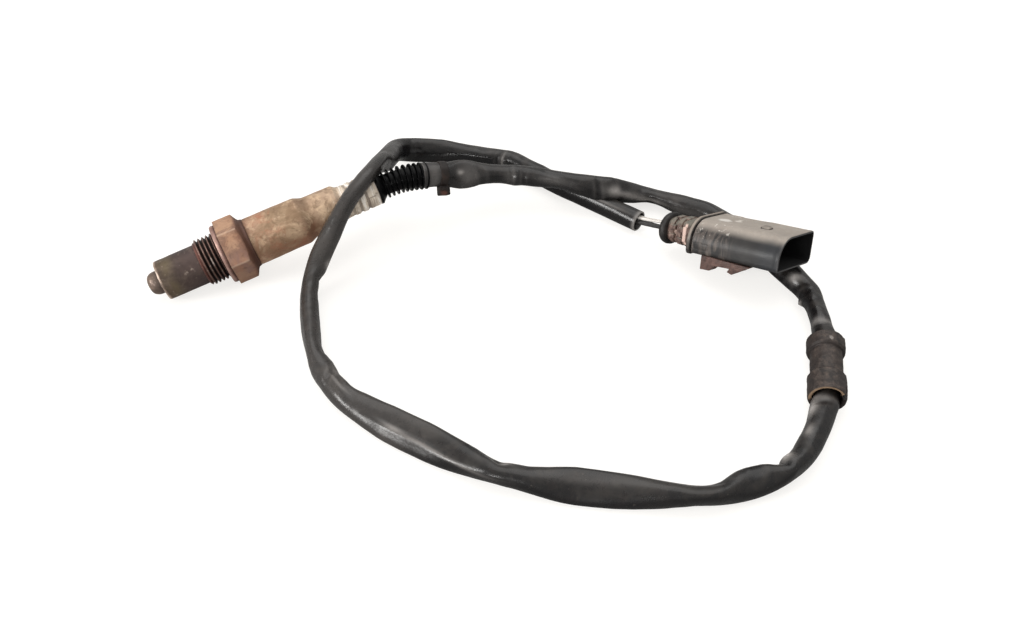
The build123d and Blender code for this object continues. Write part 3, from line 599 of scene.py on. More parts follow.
wr = np.concatenate([np.zeros((2, NT)), np.ones((1, NT)) * 0.2, np.ones((2, NT)) * 0.9, wear_and_painted_highlight[:1] + 0.2, wear_and_painted_highlight[:1], wear_and_painted_highlight, np.ones((2, NT)) * 0.7, np.zeros((2, NT))])
VV = allr.reshape(-1, 3)
FF = grid(len(allr), NT)
FF.append(tuple(range(NT))[::-1])
FF.append(tuple((len(allr) - 1) * NT + j for j in range(NT)))

g = Mat("sleeve_rubber")
n1 = g.noise(55, 5, 0.6, 0.4)
n2 = g.noise(260, 6, 0.65, 0.3)
n3 = g.noise(1500, 4, 0.6)
base = g.ramp(n1, [(0.25, (8, 8, 10)), (0.5, (13, 12, 13)), (0.75, (22, 20, 19))])
# brownish mottling laid only on upward-facing faces, so the undersides stay darker: painted shade on the undersides
c0_ = g.step(g.noise(170, 6, 0.66, 0.6), 0.46, 0.7)
base = g.mix(g.math("MULTIPLY", g.math("MULTIPLY", c0_, g.step(g.up(), -0.2, 0.7)), 0.28), base, (46, 39, 36))
dust = g.math("MULTIPLY", g.step(g.up(), 0.25, 0.98), g.step(g.noise(120, 6, 0.68, 0.8), 0.40, 0.72))
c = g.mix(g.math("MULTIPLY", dust, 0.12), base, (100, 92, 84))
spk = g.step(g.noise(900, 3, 0.7), 0.66, 0.74)
c = g.mix(g.math("MULTIPLY", spk, 0.20), c, (130, 122, 114))
wv = g.math("MULTIPLY", g.math("MULTIPLY", g.attr("wear_and_painted_highlight"), g.remap(n2, 0.3, 0.7, 0.72, 1.0)), 0.92, True)
# paler colour where the sleeve is rubbed or dusty, and painted highlights where streaks of light fall
c = g.mix(wv, c, (170, 165, 161))
# the left loop is painted paler in noisy patches: painted light on the left loop
px_, py_ = g.xyz()[0], g.xyz()[1]
leftl = g.math("MULTIPLY", g.math("SUBTRACT", 1.0, g.step(px_, 0.02, 0.05)), g.step(py_, -0.12, -0.10))
c = g.mix(g.math("MULTIPLY", g.math("MULTIPLY", leftl, g.remap(n1, 0.3, 0.7, 0.5, 1.0)), 0.26), c, (108, 103, 99))
rgh = g.math("ADD", g.remap(n2, 0.3, 0.7, 0.21, 0.32), g.math("MULTIPLY", dust, 0.14))
hh = g.math("ADD", g.math("MULTIPLY", n3, 0.35), g.math("MULTIPLY", n2, 0.8))
SLEEVE = g.done(c, rgh, 0.0, g.bump(hh, 0.06), 0.36)
sleeve = mesh_piece("cable_sleeve_skin", VV, FF, SLEEVE, "cable_sleeve", sharp=70, attrs={"wear_and_painted_highlight": np.clip(wr, 0, 1).reshape(-1)}, replaces=["cable_sleeve"])

# ---------------------------------------------------------------- the tie
i0 = int(round(7.1 / DS))
Ct, Bt, Nt, Tt = C[i0], B[i0], N[i0], T[i0]
d0 = rows[i0] - Ct
d0 = d0 - Tt * (d0 @ Tt)[:, None]
r0 = np.linalg.norm(d0, axis=1)[:, None]
band = rounded([(-1.65, -0.1, 0), (-1.65, 0.34, 0.15), (-1.2, 0.42, 0.1), (1.2, 0.42, 0.1), (1.65, 0.34, 0.15), (1.65, -0.1, 0)], 3)
rowsb = np.array([Ct + Tt * u + d0 * (1 + hgt / r0) for (u, hgt) in band])
Fb = grid(len(rowsb), NT) + [((len(rowsb) - 1) * NT + j, (len(rowsb) - 1) * NT + (j + 1) % NT, (j + 1) % NT, j) for j in range(NT)]


def bevel_box(x0, x1, y0, y1, z0, z1, r=0.3, seg=3):
    bm = bmesh.new()
    bmesh.ops.create_cube(bm, size=1.0)
    for v in bm.verts:
        v.co = Vector(((x0 + x1) / 2 + v.co.x * (x1 - x0), (y0 + y1) / 2 + v.co.y * (y1 - y0), (z0 + z1) / 2 + v.co.z * (z1 - z0)))
    bmesh.ops.bevel(bm, geom=list(bm.edges), offset=r, segments=seg, affect="EDGES", profile=0.5)
    V = [tuple(v.co) for v in bm.verts]
    bm.verts.index_update()
    F = [tuple(v.index for v in f.verts) for f in bm.faces]
    bm.free()
    return np.array(V), F


def prism_xz(pts, y0, y1, r=0.2, seg=2):
    bm = bmesh.new()
    f = bm.faces.new([bm.verts.new((x, y0, z)) for x, z in pts])
    e = bmesh.ops.extrude_face_region(bm, geom=[f])
    bmesh.ops.translate(bm, verts=[v for v in e["geom"] if isinstance(v, bmesh.types.BMVert)], vec=(0, y1 - y0, 0))
    bmesh.ops.recalc_face_normals(bm, faces=bm.faces)
    bmesh.ops.bevel(bm, geom=list(bm.edges), offset=r, segments=seg, affect="EDGES", profile=0.5)
    bm.verts.index_update()
    V = [tuple(v.co) for v in bm.verts]
    F = [tuple(v.index for v in f.verts) for f in bm.faces]
    bm.free()
    return np.array(V), F


def join(parts):
    V, F, o = [], [], 0
    for v, f in parts:
        V.append(np.asarray(v, float))
        F += [tuple(k + o for k in q) for q in f]
        o += len(v)
    return np.concatenate(V), F


def placed(V, F, O, X, Y, Z):
    V = np.asarray(V)
    return np.asarray(O) + V[:, :1] * np.asarray(X) + V[:, 1:2] * np.asarray(Y) + V[:, 2:3] * np.asarray(Z), F


ang = beta[i0] - 0.12
Hd = math.cos(ang) * Bt + math.sin(ang) * Nt
Sd = np.cross(Hd, Tt)
rh = float((d0 @ Hd).max())
parts = [(rowsb.reshape(-1, 3), Fb)]
parts.append(placed(*bevel_box(-1.7, 2.6, -2.1, 2.1, -0.5, 3.5, 0.5, 4), Ct + Hd * rh, Tt, Sd, Hd))
parts.append(placed(*bevel_box(-1.2, 1.2, 1.7, 3.2, 0.7, 1.9, 0.3), Ct + Hd * rh, Tt, Sd, Hd))
g = Mat("tie_plastic")
n1 = g.noise(240, 6, 0.62, 0.4)
n2 = g.noise(900, 4)
c = g.ramp(n1, [(0.3, (18, 15, 14)), (0.6, (36, 29, 26)), (0.85, (62, 48, 42))])
c = g.mix(g.math("MULTIPLY", g.spot(Ct + Hd * (rh + 2.4) + vper[i0] * 1.2, 1.7), 0.6), c, (98, 62, 52))
tie_m = g.done(c, g.remap(n2, 0, 1, 0.38, 0.55), 0.0, g.bump(n2, 0.05), 0.22)
tie = mesh_piece("cable_tie_band", *join(parts), tie_m, "cable_tie", sharp=40, replaces=["cable_tie"])

# ---------------------------------------------------------------- the clip
ca_, cb_ = np.array([182.2 - CX, -122.6, 6.25]), np.array([158.5 - CX, -153.8, 6.25])
cd = unit(cb_ - ca_)
cc = (ca_ + cb_) / 2 - cd * 15.5
Mclip = Matrix(((cd[0], -cd[1], 0, cc[0] * 0.001), (cd[1], cd[0], 0, cc[1] * 0.001), (0, 0, 1, cc[2] * 0.001), (0, 0, 0, 1)))
L, K = 31.0, 8.6
S0, K1, K2 = 3.7, 10.1, 21.6                   # start, end of the upper collar, start of the lower one
cprof = rounded([(S0 + 1.2, 4.2, 0), (S0, 4.6, 0.3), (S0, 5.6, 0.4), (S0 + 0.9, 6.5, 0.8), (K1 - 0.7, 6.5, 0.6), (K1, 6.0, 0.4), (K1 + 0.3, 5.3, 0.3),
                 (K1 + 1.5, 5.35, 0.4), (15.8, 5.45, 2), (K2 - 1.4, 5.35, 0.4), (K2 - 0.3, 5.3, 0.3), (K2, 6.0, 0.4), (K2 + 0.8, 6.4, 0.6),
                 (L - 1.0, 6.4, 0.5), (L, 6.1, 0.25), (L, 5.4, 0.2), (L - 0.35, 4.9, 0.3), (L - 2.6, 4.7, 0.3), (L - 2.9, 4.1, 0)], 4)
cprof = resampled(cprof, 0.45)


def clip_r(S, R, T_):
    q = np.stack([S.reshape(-1) * 1.0, (np.cos(T_) * 5).reshape(-1), (np.sin(T_) * 5).reshape(-1)], -1)
    R = R + nz(q, 0.5, 5).reshape(R.shape) * 0.16 + nz(q, 1.6, 6).reshape(R.shape) * 0.07
    # a moulded seam and a broken-out notch at the lower end
    a1 = (T_ - 0.55 + math.pi) % (2 * math.pi) - math.pi
    R = R + 0.18 * np.exp(-(a1 / 0.05) ** 2)
    a2 = (T_ - 0.42 + math.pi) % (2 * math.pi) - math.pi
    R = np.where((np.abs(a2) < 0.20) & (S > L - 3.0) & (R > 4.8), 4.75 + 0.05 * np.sin(S * 9), R)
    return R


g = Mat("clip_plastic")
n1 = g.noise(110, 6, 0.65, 0.6)
n2 = g.noise(520, 6, 0.7, 0.2)
base = g.ramp(n1, [(0.25, (18, 14, 13)), (0.5, (30, 24, 22)), (0.78, (48, 38, 34))])
c = g.mix(g.math("MULTIPLY", g.step(n2, 0.55, 0.75), 0.45), base, (104, 88, 78))
X = g.xyz()[0]
yy, zz = g.xyz()[1], g.xyz()[2]
rad = g.math("SQRT", g.math("ADD", g.math("MULTIPLY", yy, yy), g.math("MULTIPLY", zz, zz)))
lip = g.math("MULTIPLY", g.step(X, 0.0278, 0.0284), g.math("SUBTRACT", 1.0, g.step(rad, 0.00575, 0.0061)))
lip = g.math("MULTIPLY", lip, g.step(g.math("ADD", zz, g.math("MULTIPLY", yy, -0.35)), 0.0002, 0.0016))
c = g.mix(g.math("MULTIPLY", lip, 0.9), c, (134, 112, 90))
rim = g.math("MULTIPLY", g.step(n2, 0.4, 0.6), g.step(g.up(), 0.3, 1.0))
c = g.mix(g.math("MULTIPLY", rim, 0.22), c, (112, 100, 92))
c = g.mix(g.math("MULTIPLY", g.spot((8.2, 0.6, 6.3), 0.9, 1.6, 900), 0.3), c, (196, 188, 180))
c = g.mix(g.math("MULTIPLY", g.spot((4.4, 4.8, 4.0), 0.9, 1.4, 900), 0.6), c, (176, 128, 116))
c = g.mix(g.math("MULTIPLY", g.spot((30.4, 5.6, 1.4), 1.6), 0.8), c, (22, 17, 16))
CLIPM = g.done(c, g.remap(n2, 0.3, 0.7, 0.42, 0.68), 0.0, g.bump(g.math("ADD", n2, g.math("MULTIPLY", n1, 0.7)), 0.18), 0.35)
Vc, Fc = lathe(cprof, 160, clip_r)
Vc = above_floor(Vc + np.array([0, 0.15, 0]), Mclip, 0.02)
clip = mesh_piece("harness_clip_shell", Vc, Fc, CLIPM, "harness_clip", M=Mclip, sharp=50, replaces=["harness_clip"])

# ------------------------------------------------------------ the connector
yw, pt, rl = math.radians(-65.05), math.radians(14.32), math.radians(-21.65)
KA = np.array([math.cos(yw) * math.cos(pt), math.sin(yw) * math.cos(pt), math.sin(pt)])
s0_ = np.array([-math.sin(yw), math.cos(yw), 0])
u0_ = np.cross(KA, s0_)
KW = s0_ * math.cos(rl) + u0_ * math.sin(rl)
KH = np.cross(KA, KW)
KO = np.array([169.85 - CX, -68.07, 5.34])
KM = Matrix([[KA[i], KW[i], KH[i], KO[i] * 0.001] for i in range(3)] + [[0, 0, 0, 1]])
CW, CH, CL = 26.5, 12.31, 35.6


def dsec(inset=0.0, near=8.4, grow=(0, 0, 0, 0), fb=2.6, ft=1.7):
    """Flat D section (y, z); grow moves the near, far, lower and upper side out."""
    y0, y1, z0, z1 = -CW / 2 + inset - grow[0], CW / 2 - inset + grow[1], inset - grow[2], CH - inset + grow[3]
    rr = [max(1.4 - inset, 0.35), max(fb - inset, 0.4), max(ft - inset, 0.35), max(near - inset, 0.6)]
    cs = [(y0, z0, 1, 1, 180), (y1, z0, -1, 1, 270), (y1, z1, -1, -1, 0), (y0, z1, 1, -1, 90)]
    out = []
    for (y, z, sy, sz, a0), r, n in zip(cs, rr, (7, 9, 7, 18)):
        cy, cz = y + sy * r, z + sz * r
        for k in range(n + 1):
            a = math.radians(a0 + 90 * k / n)
            out.append((cy + r * math.cos(a), cz + r * math.sin(a)))
    # more points along the flats
    full = []
    for a, b in zip(out, out[1:] + out[:1]):
        d = math.dist(a, b)
        m = max(1, int(round(d / 1.4))) if d > 2.2 else 1
        for k in range(m):
            full.append((a[0] + (b[0] - a[0]) * k / m, a[1] + (b[1] - a[1]) * k / m))
    return full


def loft(stations, step=1.2):
    """stations: (x, section); sections have the same number of points."""
    n = min(len(s) for _, s in stations)
    rows_ = []
    for (xa, sa_), (xb, sb_) in zip(stations[:-1], stations[1:]):
        m = max(1, int(abs(xb - xa) / step))
        for k in range(m):
            f = k / m
            rows_.append([(xa + (xb - xa) * f, sa_[j][0] * (1 - f) + sb_[j][0] * f, sa_[j][1] * (1 - f) + sb_[j][1] * f) for j in range(n)])
    rows_.append([(stations[-1][0], p[0], p[1]) for p in stations[-1][1][:n]])
    V = np.array(rows_).reshape(-1, 3)
    F = grid(len(rows_), n) + [tuple(range(n))[::-1], tuple((len(rows_) - 1) * n + j for j in range(n))]
    return V, F


def ev(sec, n=132):
    q = np.array(sec + sec[:1])
    d = np.r_[0, np.cumsum(np.linalg.norm(np.diff(q, axis=0), axis=1))]
    t = np.linspace(0, d[-1], n, endpoint=False)
    return [(float(np.interp(v, d, q[:, 0])), float(np.interp(v, d, q[:, 1]))) for v in t]


def S(inset, near=8.4, grow=(0, 0, 0, 0), fb=2.6, ft=1.7):
    return ev(dsec(inset, near, grow, fb, ft))


def oval(cy, cz, ry, rz, n=132, pw=2.0):
    """Rounded section about (cy, cz); a higher power gives squarer corners."""
    out = []
    for k in range(n):
        a = math.pi + 2 * math.pi * k / n
        c_, s_ = math.cos(a), math.sin(a)
        r_ = (abs(c_ / ry) ** pw + abs(s_ / rz) ** pw) ** (-1 / pw)
        out.append((cy + r_ * c_, cz + r_ * s_))
    return out


body = loft([(-0.4, S(0.6, ft=3.4)), (0.25, S(0.55, ft=3.4)), (0.4, S(-0.1, ft=3.4)), (7.6, S(-0.1, ft=3.4)), (8.1, S(0.06, ft=3.3)), (13.5, S(0.0, ft=3.1)), (19.5, S(0.0)), (CL - 1.7, S(0.0)), (CL - 1.4, S(-0.08)),
             (CL - 0.3, S(-0.08)), (CL - 0.06, S(0.03)), (CL, S(0.2)), (CL, S(0.6)), (CL - 0.08, S(0.74)), (CL - 0.4, S(0.82)), (15.0, S(0.9)), (14.8, S(2.0))])
flange = loft([(-0.2, S(0.2, ft=3.4)), (-0.2, S(-0.35, ft=3.4)), (-0.4, S(-0.6, ft=3.5)), (-1.6, S(-0.6, ft=3.5)), (-1.8, S(-0.4, ft=3.5)), (-1.8, S(0.4, ft=3.4))])
cparts = [body, flange]
# a low rounded mound that the latch rides over
cparts.append(bevel_box(21.2, 25.2, -2.3, 1.7, CH - 1.6, CH + 0.95, 1.15, 6))
cparts.append(bevel_box(1.2, 7.2, -CW / 2 - 0.25, -CW / 2 + 0.3, 2.2, 4.6, 0.16))

g = Mat("connector_plastic")
n1 = g.noise(70, 6, 0.62, 0.5)
n2 = g.noise(420, 6, 0.68, 0.3)
base = g.ramp(n1, [(0.28, (26, 25, 26)), (0.5, (35, 34, 34)), (0.75, (47, 45, 44))])
xl, yl, zl = g.xyz()[0], g.xyz()[1], g.xyz()[2]
upn = g.step(g.up(), 0.50, 0.86)
topz = g.step(zl, 0.0086, 0.0116)
dm = g.math("MULTIPLY", g.math("MULTIPLY", g.math("MULTIPLY", upn, topz), g.remap(n1, 0.25, 0.7, 0.82, 1.0)), g.remap(n2, 0.2, 0.8, 0.8, 1.08), True)
rear = g.math("SUBTRACT", 1.0, g.step(xl, 0.006, 0.022))
c = g.mix(g.math("MULTIPLY", dm, 0.88), base, (166, 157, 147))
c = g.mix(g.math("MULTIPLY", g.math("MULTIPLY", g.step(g.noise(150, 5, 0.6, 1.0), 0.5, 0.7), dm), 0.4), c, (140, 128, 118))
scr = g.math("MULTIPLY", g.math("MULTIPLY", g.step(g.noise(330, 5, 0.7, 1.5), 0.6, 0.66), upn), rear)
c = g.mix(g.math("MULTIPLY", scr, 0.7), c, (214, 208, 200))
c = g.mix(g.math("MULTIPLY", g.spot((6.5, -1.5, CH), 2.6), 0.7), c, (216, 212, 206))
c = g.mix(g.math("MULTIPLY", g.spot((10.5, 1.5, CH), 1.6), 0.6), c, (210, 204, 196))
side = g.math("MULTIPLY", g.step(g.noise(160, 5, 0.6, 1.2, g.stretched((2.2, 1, 0.5))), 0.42, 0.66), g.math("SUBTRACT", 1.0, g.step(xl, 0.010, 0.019)))
c = g.mix(g.math("MULTIPLY", g.math("MULTIPLY", side, g.math("SUBTRACT", 1.0, dm)), 0.42), c, (126, 114, 106))
c = g.mix(g.math("MULTIPLY", g.math("MULTIPLY", g.step(xl, 0.024, 0.031), g.math("SUBTRACT", 1.0, dm)), 0.5), c, (38, 41, 46))
fl_ = g.math("SUBTRACT", 1.0, g.step(xl, -0.0004, -0.0001))
c = g.mix(g.math("MULTIPLY", fl_, 0.75), c, (40, 36, 34))
flr = g.math("MULTIPLY", g.math("SUBTRACT", 1.0, g.step(xl, -0.0008, -0.0004)), g.step(g.up(), 0.2, 0.8))
c = g.mix(g.math("MULTIPLY", flr, 0.75), c, (150, 139, 128))
c = g.mix(g.math("MULTIPLY", g.spot((23.2, -0.4, CH + 0.4), 2.0), 0.62), c, (84, 78, 72))
# a faint pale line along the mouth's front rim: painted highlight
edge = g.step(g.math("ABSOLUTE", g.math("SUBTRACT", xl, CL * 0.001 - 0.0001)), 0.0006, 0.0001)
c = g.mix(g.math("MULTIPLY", edge, 0.12), c, (120, 117, 114))
# the unlit inside of the mouth
iny = g.math("SUBTRACT", 1.0, g.step(g.math("ABSOLUTE", yl), CW * 0.0005 - 0.00070, CW * 0.0005 - 0.00055))
inz = g.math("MULTIPLY", g.step(zl, 0.00055, 0.00070), g.math("SUBTRACT", 1.0, g.step(zl, CH * 0.001 - 0.00070, CH * 0.001 - 0.00055)))
front = g.step(xl, 0.0145, 0.0149)
# the near-top corner is round, so the inside is also bounded by its circle
cyn, czn = -CW * 0.0005 + 0.0084, CH * 0.001 - 0.0084
dy_, dz_ = g.math("SUBTRACT", yl, cyn), g.math("SUBTRACT", zl, czn)
cr = g.math("SQRT", g.math("ADD", g.math("MULTIPLY", dy_, dy_), g.math("MULTIPLY", dz_, dz_)))
incorner = g.math("MULTIPLY", g.math("MULTIPLY", g.step(cr, 0.00762, 0.00778), g.math("SUBTRACT", 1.0, g.step(dy_, -0.0001, 0.0))), g.step(dz_, 0.0, 0.0001))
inside = g.math("MULTIPLY", g.math("MULTIPLY", g.math("MULTIPLY", iny, inz), front), g.math("SUBTRACT", 1.0, incorner))
c = g.mix(inside, c, (5, 5, 6))
rgh = g.math("ADD", g.remap(n2, 0.3, 0.7, 0.36, 0.48), g.math("MULTIPLY", dm, 0.28))
rgh = g.math("MAXIMUM", rgh, g.math("MULTIPLY", inside, 0.95))
CONM = g.done(c, rgh, 0.0, g.bump(g.math("ADD", n2, g.math("MULTIPLY", g.noise(1800, 3), 0.3)), 0.05), 0.32)
cv, cf = join(cparts)
conn = mesh_piece("connector_housing_shell", above_floor(cv, KM), cf, CONM, "connector_housing", M=KM, sharp=42, replaces=["connector_housing"])

# retainer behind the flange: a lighter, dirty insert on the near half, low and dark on the far half
ry_, rz_ = -5.0, 6.15
rparts = [loft([(-12.5, oval(ry_, rz_, 5.4, 4.2, pw=3)), (-12.4, oval(ry_, rz_, 5.9, 4.6, pw=3)), (-11.3, oval(ry_, rz_, 5.9, 4.6, pw=3)), (-11.1, oval(ry_, rz_, 6.4, 5.0, pw=3)), (-9.6, oval(ry_, rz_, 6.4, 5.0, pw=3.2)), (-9.4, oval(ry_, rz_, 5.7, 4.5, pw=3.2)), (-8.0, oval(ry_, rz_, 5.7, 4.5, pw=3.4)),
                (-7.8, oval(ry_, rz_, 6.6, 5.2, pw=3.6)), (-5.9, oval(ry_, rz_, 6.7, 5.25, pw=3.8)), (-5.7, oval(ry_, rz_, 6.1, 4.8, pw=3.8)), (-4.4, oval(ry_, rz_, 6.1, 4.8, pw=4)), (-4.2, oval(ry_, rz_, 6.9, 5.3, pw=4)),
                (-1.7, oval(ry_, rz_, 7.0, 5.35, pw=4)), (-1.6, oval(ry_, rz_, 6.0, 4.6, pw=4))])]
rparts.append(bevel_box(-9.0, -1.7, 1.0, 11.4, 1.2, 6.6, 0.7))
for x_, z_ in ((-10.9, 3.6), (-7.3, 2.6), (-7.0, 6.6), (-10.6, 7.0)):
    rparts.append(bevel_box(x_, x_ + 2.2, ry_ - 7.0, ry_ - 5.2, z_, z_ + 1.8, 0.28))
rparts.append(bevel_box(-4.7, -3.2, ry_ - 7.5, ry_ - 6.0, 3.2, 9.0, 0.3))
for x_ in (-10.4, -6.6):
    rparts.append(bevel_box(x_, x_ + 2.0, ry_ - 3.2, ry_ + 0.6, rz_ + 4.2, rz_ + 5.5, 0.3))
g = Mat("retainer_plastic")
n1 = g.noise(190, 6, 0.66, 0.8)
n2 = g.noise(620, 6, 0.7, 0.3)
xl, yl, zl = g.xyz()[0], g.xyz()[1], g.xyz()[2]
base = g.ramp(n1, [(0.28, (34, 26, 24)), (0.45, (78, 60, 54)), (0.6, (126, 104, 94)), (0.8, (178, 158, 146))])
c = g.mix(g.math("MULTIPLY", g.step(n2, 0.5, 0.68), 0.6), base, (38, 30, 28))
c = g.mix(g.math("MULTIPLY", g.step(g.up(), 0.45, 0.9), 0.6), c, (112, 112, 102))
bar = g.math("MULTIPLY", g.math("SUBTRACT", 1.0, g.step(g.math("ABSOLUTE", g.math("ADD", xl, 0.00395)), 0.00068, 0.00085)), g.math("SUBTRACT", 1.0, g.step(yl, -0.0116, -0.0110)))
c = g.mix(g.math("MULTIPLY", bar, 0.85), c, (206, 178, 166))
c = g.mix(g.math("MULTIPLY", g.step(yl, 0.0012, 0.0024), 0.95), c, (18, 16, 16))
RETM = g.done(c, g.remap(n2, 0.3, 0.7, 0.45, 0.7), 0.0, g.bump(g.math("ADD", n2, n1), 0.16), 0.35)
rv, rf = join(rparts)
ret = mesh_piece("terminal_retainer_insert", above_floor(rv, KM), rf, RETM, "terminal_retainer", M=KM, sharp=42, replaces=["terminal_retainer"])

# black rubber end: an oval ring that stands round the leads, open at its back
cy_, cz_ = -6.0, 6.1
cup = loft([(-12.2, oval(cy_, cz_, 5.2, 4.1)), (-12.3, oval(cy_, cz_, 7.2, 5.7)), (-12.6, oval(cy_, cz_, 7.6, 6.1)), (-13.5, oval(cy_, cz_, 7.75, 6.25)), (-14.3, oval(cy_, cz_, 7.55, 6.05)), (-14.8, oval(cy_, cz_, 7.15, 5.7)),
            (-15.0, oval(cy_, cz_, 6.7, 5.3)), (-14.9, oval(cy_, cz_, 6.3, 4.95)), (-14.2, oval(cy_, cz_, 6.0, 4.7)), (-12.6, oval(cy_, cz_, 5.7, 4.4))], 0.7)
g = Mat("end_seal_rubber")
n1 = g.noise(130, 6, 0.65, 0.5)
n2 = g.noise(700, 5, 0.65)
base = g.ramp(n1, [(0.3, (14, 13, 13)), (0.55, (30, 28, 27)), (0.8, (66, 62, 60))])
c = g.mix(g.math("MULTIPLY", g.step(n2, 0.6, 0.74), 0.25), base, (110, 98, 90))
SEALM = g.done(c, g.remap(n2, 0.3, 0.7, 0.36, 0.55), 0.0, g.bump(n2, 0.08), 0.30)
seal = mesh_piece("connector_end_seal_cup", above_floor(cup[0], KM), cup[1], SEALM, "connector_end_seal", M=KM, sharp=48, replaces=["connector_end_seal"])

# slide under the near edge, with its two hooked feet
y0, y1 = -CW / 2 - 0.2, -8.6
foot = [(5.0, 0.3), (5.0, -5.1), (9.0, -4.9), (11.2, -2.7), (17.0, -2.4), (16.2, -3.8), (18.2, -4.4), (25.2, -0.3)]
sparts = [prism_xz(foot, y0, y1, 0.22)]
sparts.append(bevel_box(5.4, 23.6, y0 - 0.12, y0 + 0.4, -1.5, -0.9, 0.12))
g = Mat("slide_plastic")
n1 = g.noise(210, 6, 0.66, 0.8)
n2 = g.noise(700, 6, 0.7)
base = g.ramp(n1, [(0.28, (34, 22, 20)), (0.5, (70, 50, 44)), (0.75, (112, 84, 76))])
c = g.mix(g.math("MULTIPLY", g.step(n2, 0.52, 0.7), 0.55), base, (38, 28, 26))
SLIDM = g.done(c, g.remap(n2, 0.3, 0.7, 0.45, 0.7), 0.0, g.bump(g.math("ADD", n2, n1), 0.2), 0.45)
sv, sf = join(sparts)
slide = mesh_piece("mounting_slide_rail", above_floor(sv, KM), sf, SLIDM, "mounting_slide", M=KM, sharp=35, replaces=["mounting_slide"])


# ------------------------------------------------------------------- leads
def bezier(pts, n=60):
    pts = np.asarray(pts, float)
    out = []
    for t in np.linspace(0, 1, n):
        q = pts.copy()
        while len(q) > 1:
            q = q[:-1] * (1 - t) + q[1:] * t
        out.append(q[0])
    return np.array(out)


def tube(pts, r, n=20, wob=0.0, seed=1.0):
    t = unit(np.gradient(pts, axis=0))
    nn = unit(ZZ - t * (t @ ZZ)[:, None])
    bb = np.cross(nn, t)
    a = np.linspace(0, 2 * math.pi, n, endpoint=False)
    R_ = r * np.ones((len(pts), n))
    if wob:
        q = (pts[:, None, :] + np.cos(a)[None, :, None] * bb[:, None, :] * r + np.sin(a)[None, :, None] * nn[:, None, :] * r).reshape(-1, 3)
        R_ = R_ + nz(q, 1.3, seed).reshape(R_.shape) * wob
    V = (pts[:, None, :] + (np.cos(a)[None] * R_)[..., None] * bb[:, None, :] + (np.sin(a)[None] * R_)[..., None] * nn[:, None, :]).reshape(-1, 3)
    F = grid(len(pts), n) + [tuple(range(n))[::-1], tuple((len(pts) - 1) * n + j for j in range(n))]
    return V, F


ce, ed = C[-1], T[-1]
us = unit(np.cross(ZZ, ed)) * -1.0
# name: place in the sleeve's end (across, up), hole (across, up), colours, radius
LEADS = {"white_lead_a": (-0.1, 1.15, (-6.2, 7.9), (226, 223, 218), (190, 184, 177), 0.52), "black_lead": (-0.9, 0.15, (-8.0, 5.9), (30, 30, 31), (50, 47, 45), 0.70),
         "grey_lead": (0.9, 0.0, (-5.0, 5.2), (96, 96, 98), (70, 66, 64), 0.60), "white_lead_b": (0.75, 1.15, (-4.4, 7.6), (222, 218, 212), (180, 173, 166), 0.50)}
if us[0] < 0:
    us = -us
for k, (nm, (iu, iv, (hy, hz), c1_, c0_, rr_)) in enumerate(LEADS.items()):
    offv = us * (1.25 * iu) + np.cross(us, ed) * (1.25 * iv) * (1 if np.cross(us, ed)[2] > 0 else -1)
    hole = KO - KA * 12.4 + KW * hy + KH * hz
    p0 = ce - ed * 6.0 + offv
    p1 = ce + ed * 2.4 + offv * 1.05
    pts = bezier([p0, ce + offv, p1, hole - KA * 4.0, hole, hole + KA * 3.0])
    mt = plain_like(nm + "_insulation", c0_, c1_, 380, 0.42, 0, 0.04)
    V, F = tube(pts, rr_, 22, 0.06, 3.0 + k)
    # the lead's other end, from the boot down to its contact in the probe
    bp = [axis_pt(70.0), axis_pt(80.0), axis_pt(91.0), axis_pt(96.5), np.array([74.2 - CX, -0.5, 24.5]), np.array([84.0 - CX, -1.2, 22.9]), np.array([89.0 - CX, -1.6, 21.9])]
    ju, jv = ((-1, -1), (1, -1), (1, 1), (-1, 1))[k]
    o2 = np.array([0, 1.15 * ju, 0]) + np.array([-sp_, 0, cp]) * 1.15 * jv
    V2, F2 = tube(np.array([np.array([np.interp(t, np.arange(7), [q[j] for q in bp]) for j in range(3)]) + o2 for t in np.linspace(0, 6, 60)]), 0.78, 14)
    mesh_piece(nm + "_wire", *join([(V, F), (V2, F2)]), mt, nm, sharp=60, replaces=[nm])

# -------------------------------------------------------------- probe: tubes
q_ = np.linspace(0, 1, 22)
dome = [(3.5 * (1 - math.cos(t * math.pi / 2)) ** 1.15, 4.4 * math.sin(t * math.pi / 2) ** 0.74) for t in q_]
dome = [p for p in dome if p[1] > 0.95]
iprof = [(3.0, 0.62), (0.35, 0.62), (0.16, 0.70), (0.13, 0.86)] + dome + [(5.4, 4.4), (7.5, 4.4), (7.5, 3.9), (4.4, 3.9), (3.2, 3.2), (3.0, 1.6)]
iprof = resampled([(min(s_ + 1.15, 7.7) if s_ < 7 else s_ + 0.4, r_) for s_, r_ in iprof], 0.35)


def dull(amp, sc, seed):
    def f(S_, R_, T_):
        q = np.stack([S_.reshape(-1), (np.cos(T_) * R_).reshape(-1), (np.sin(T_) * R_).reshape(-1)], -1)
        return R_ + nz(q, sc, seed).reshape(R_.shape) * amp
    return f


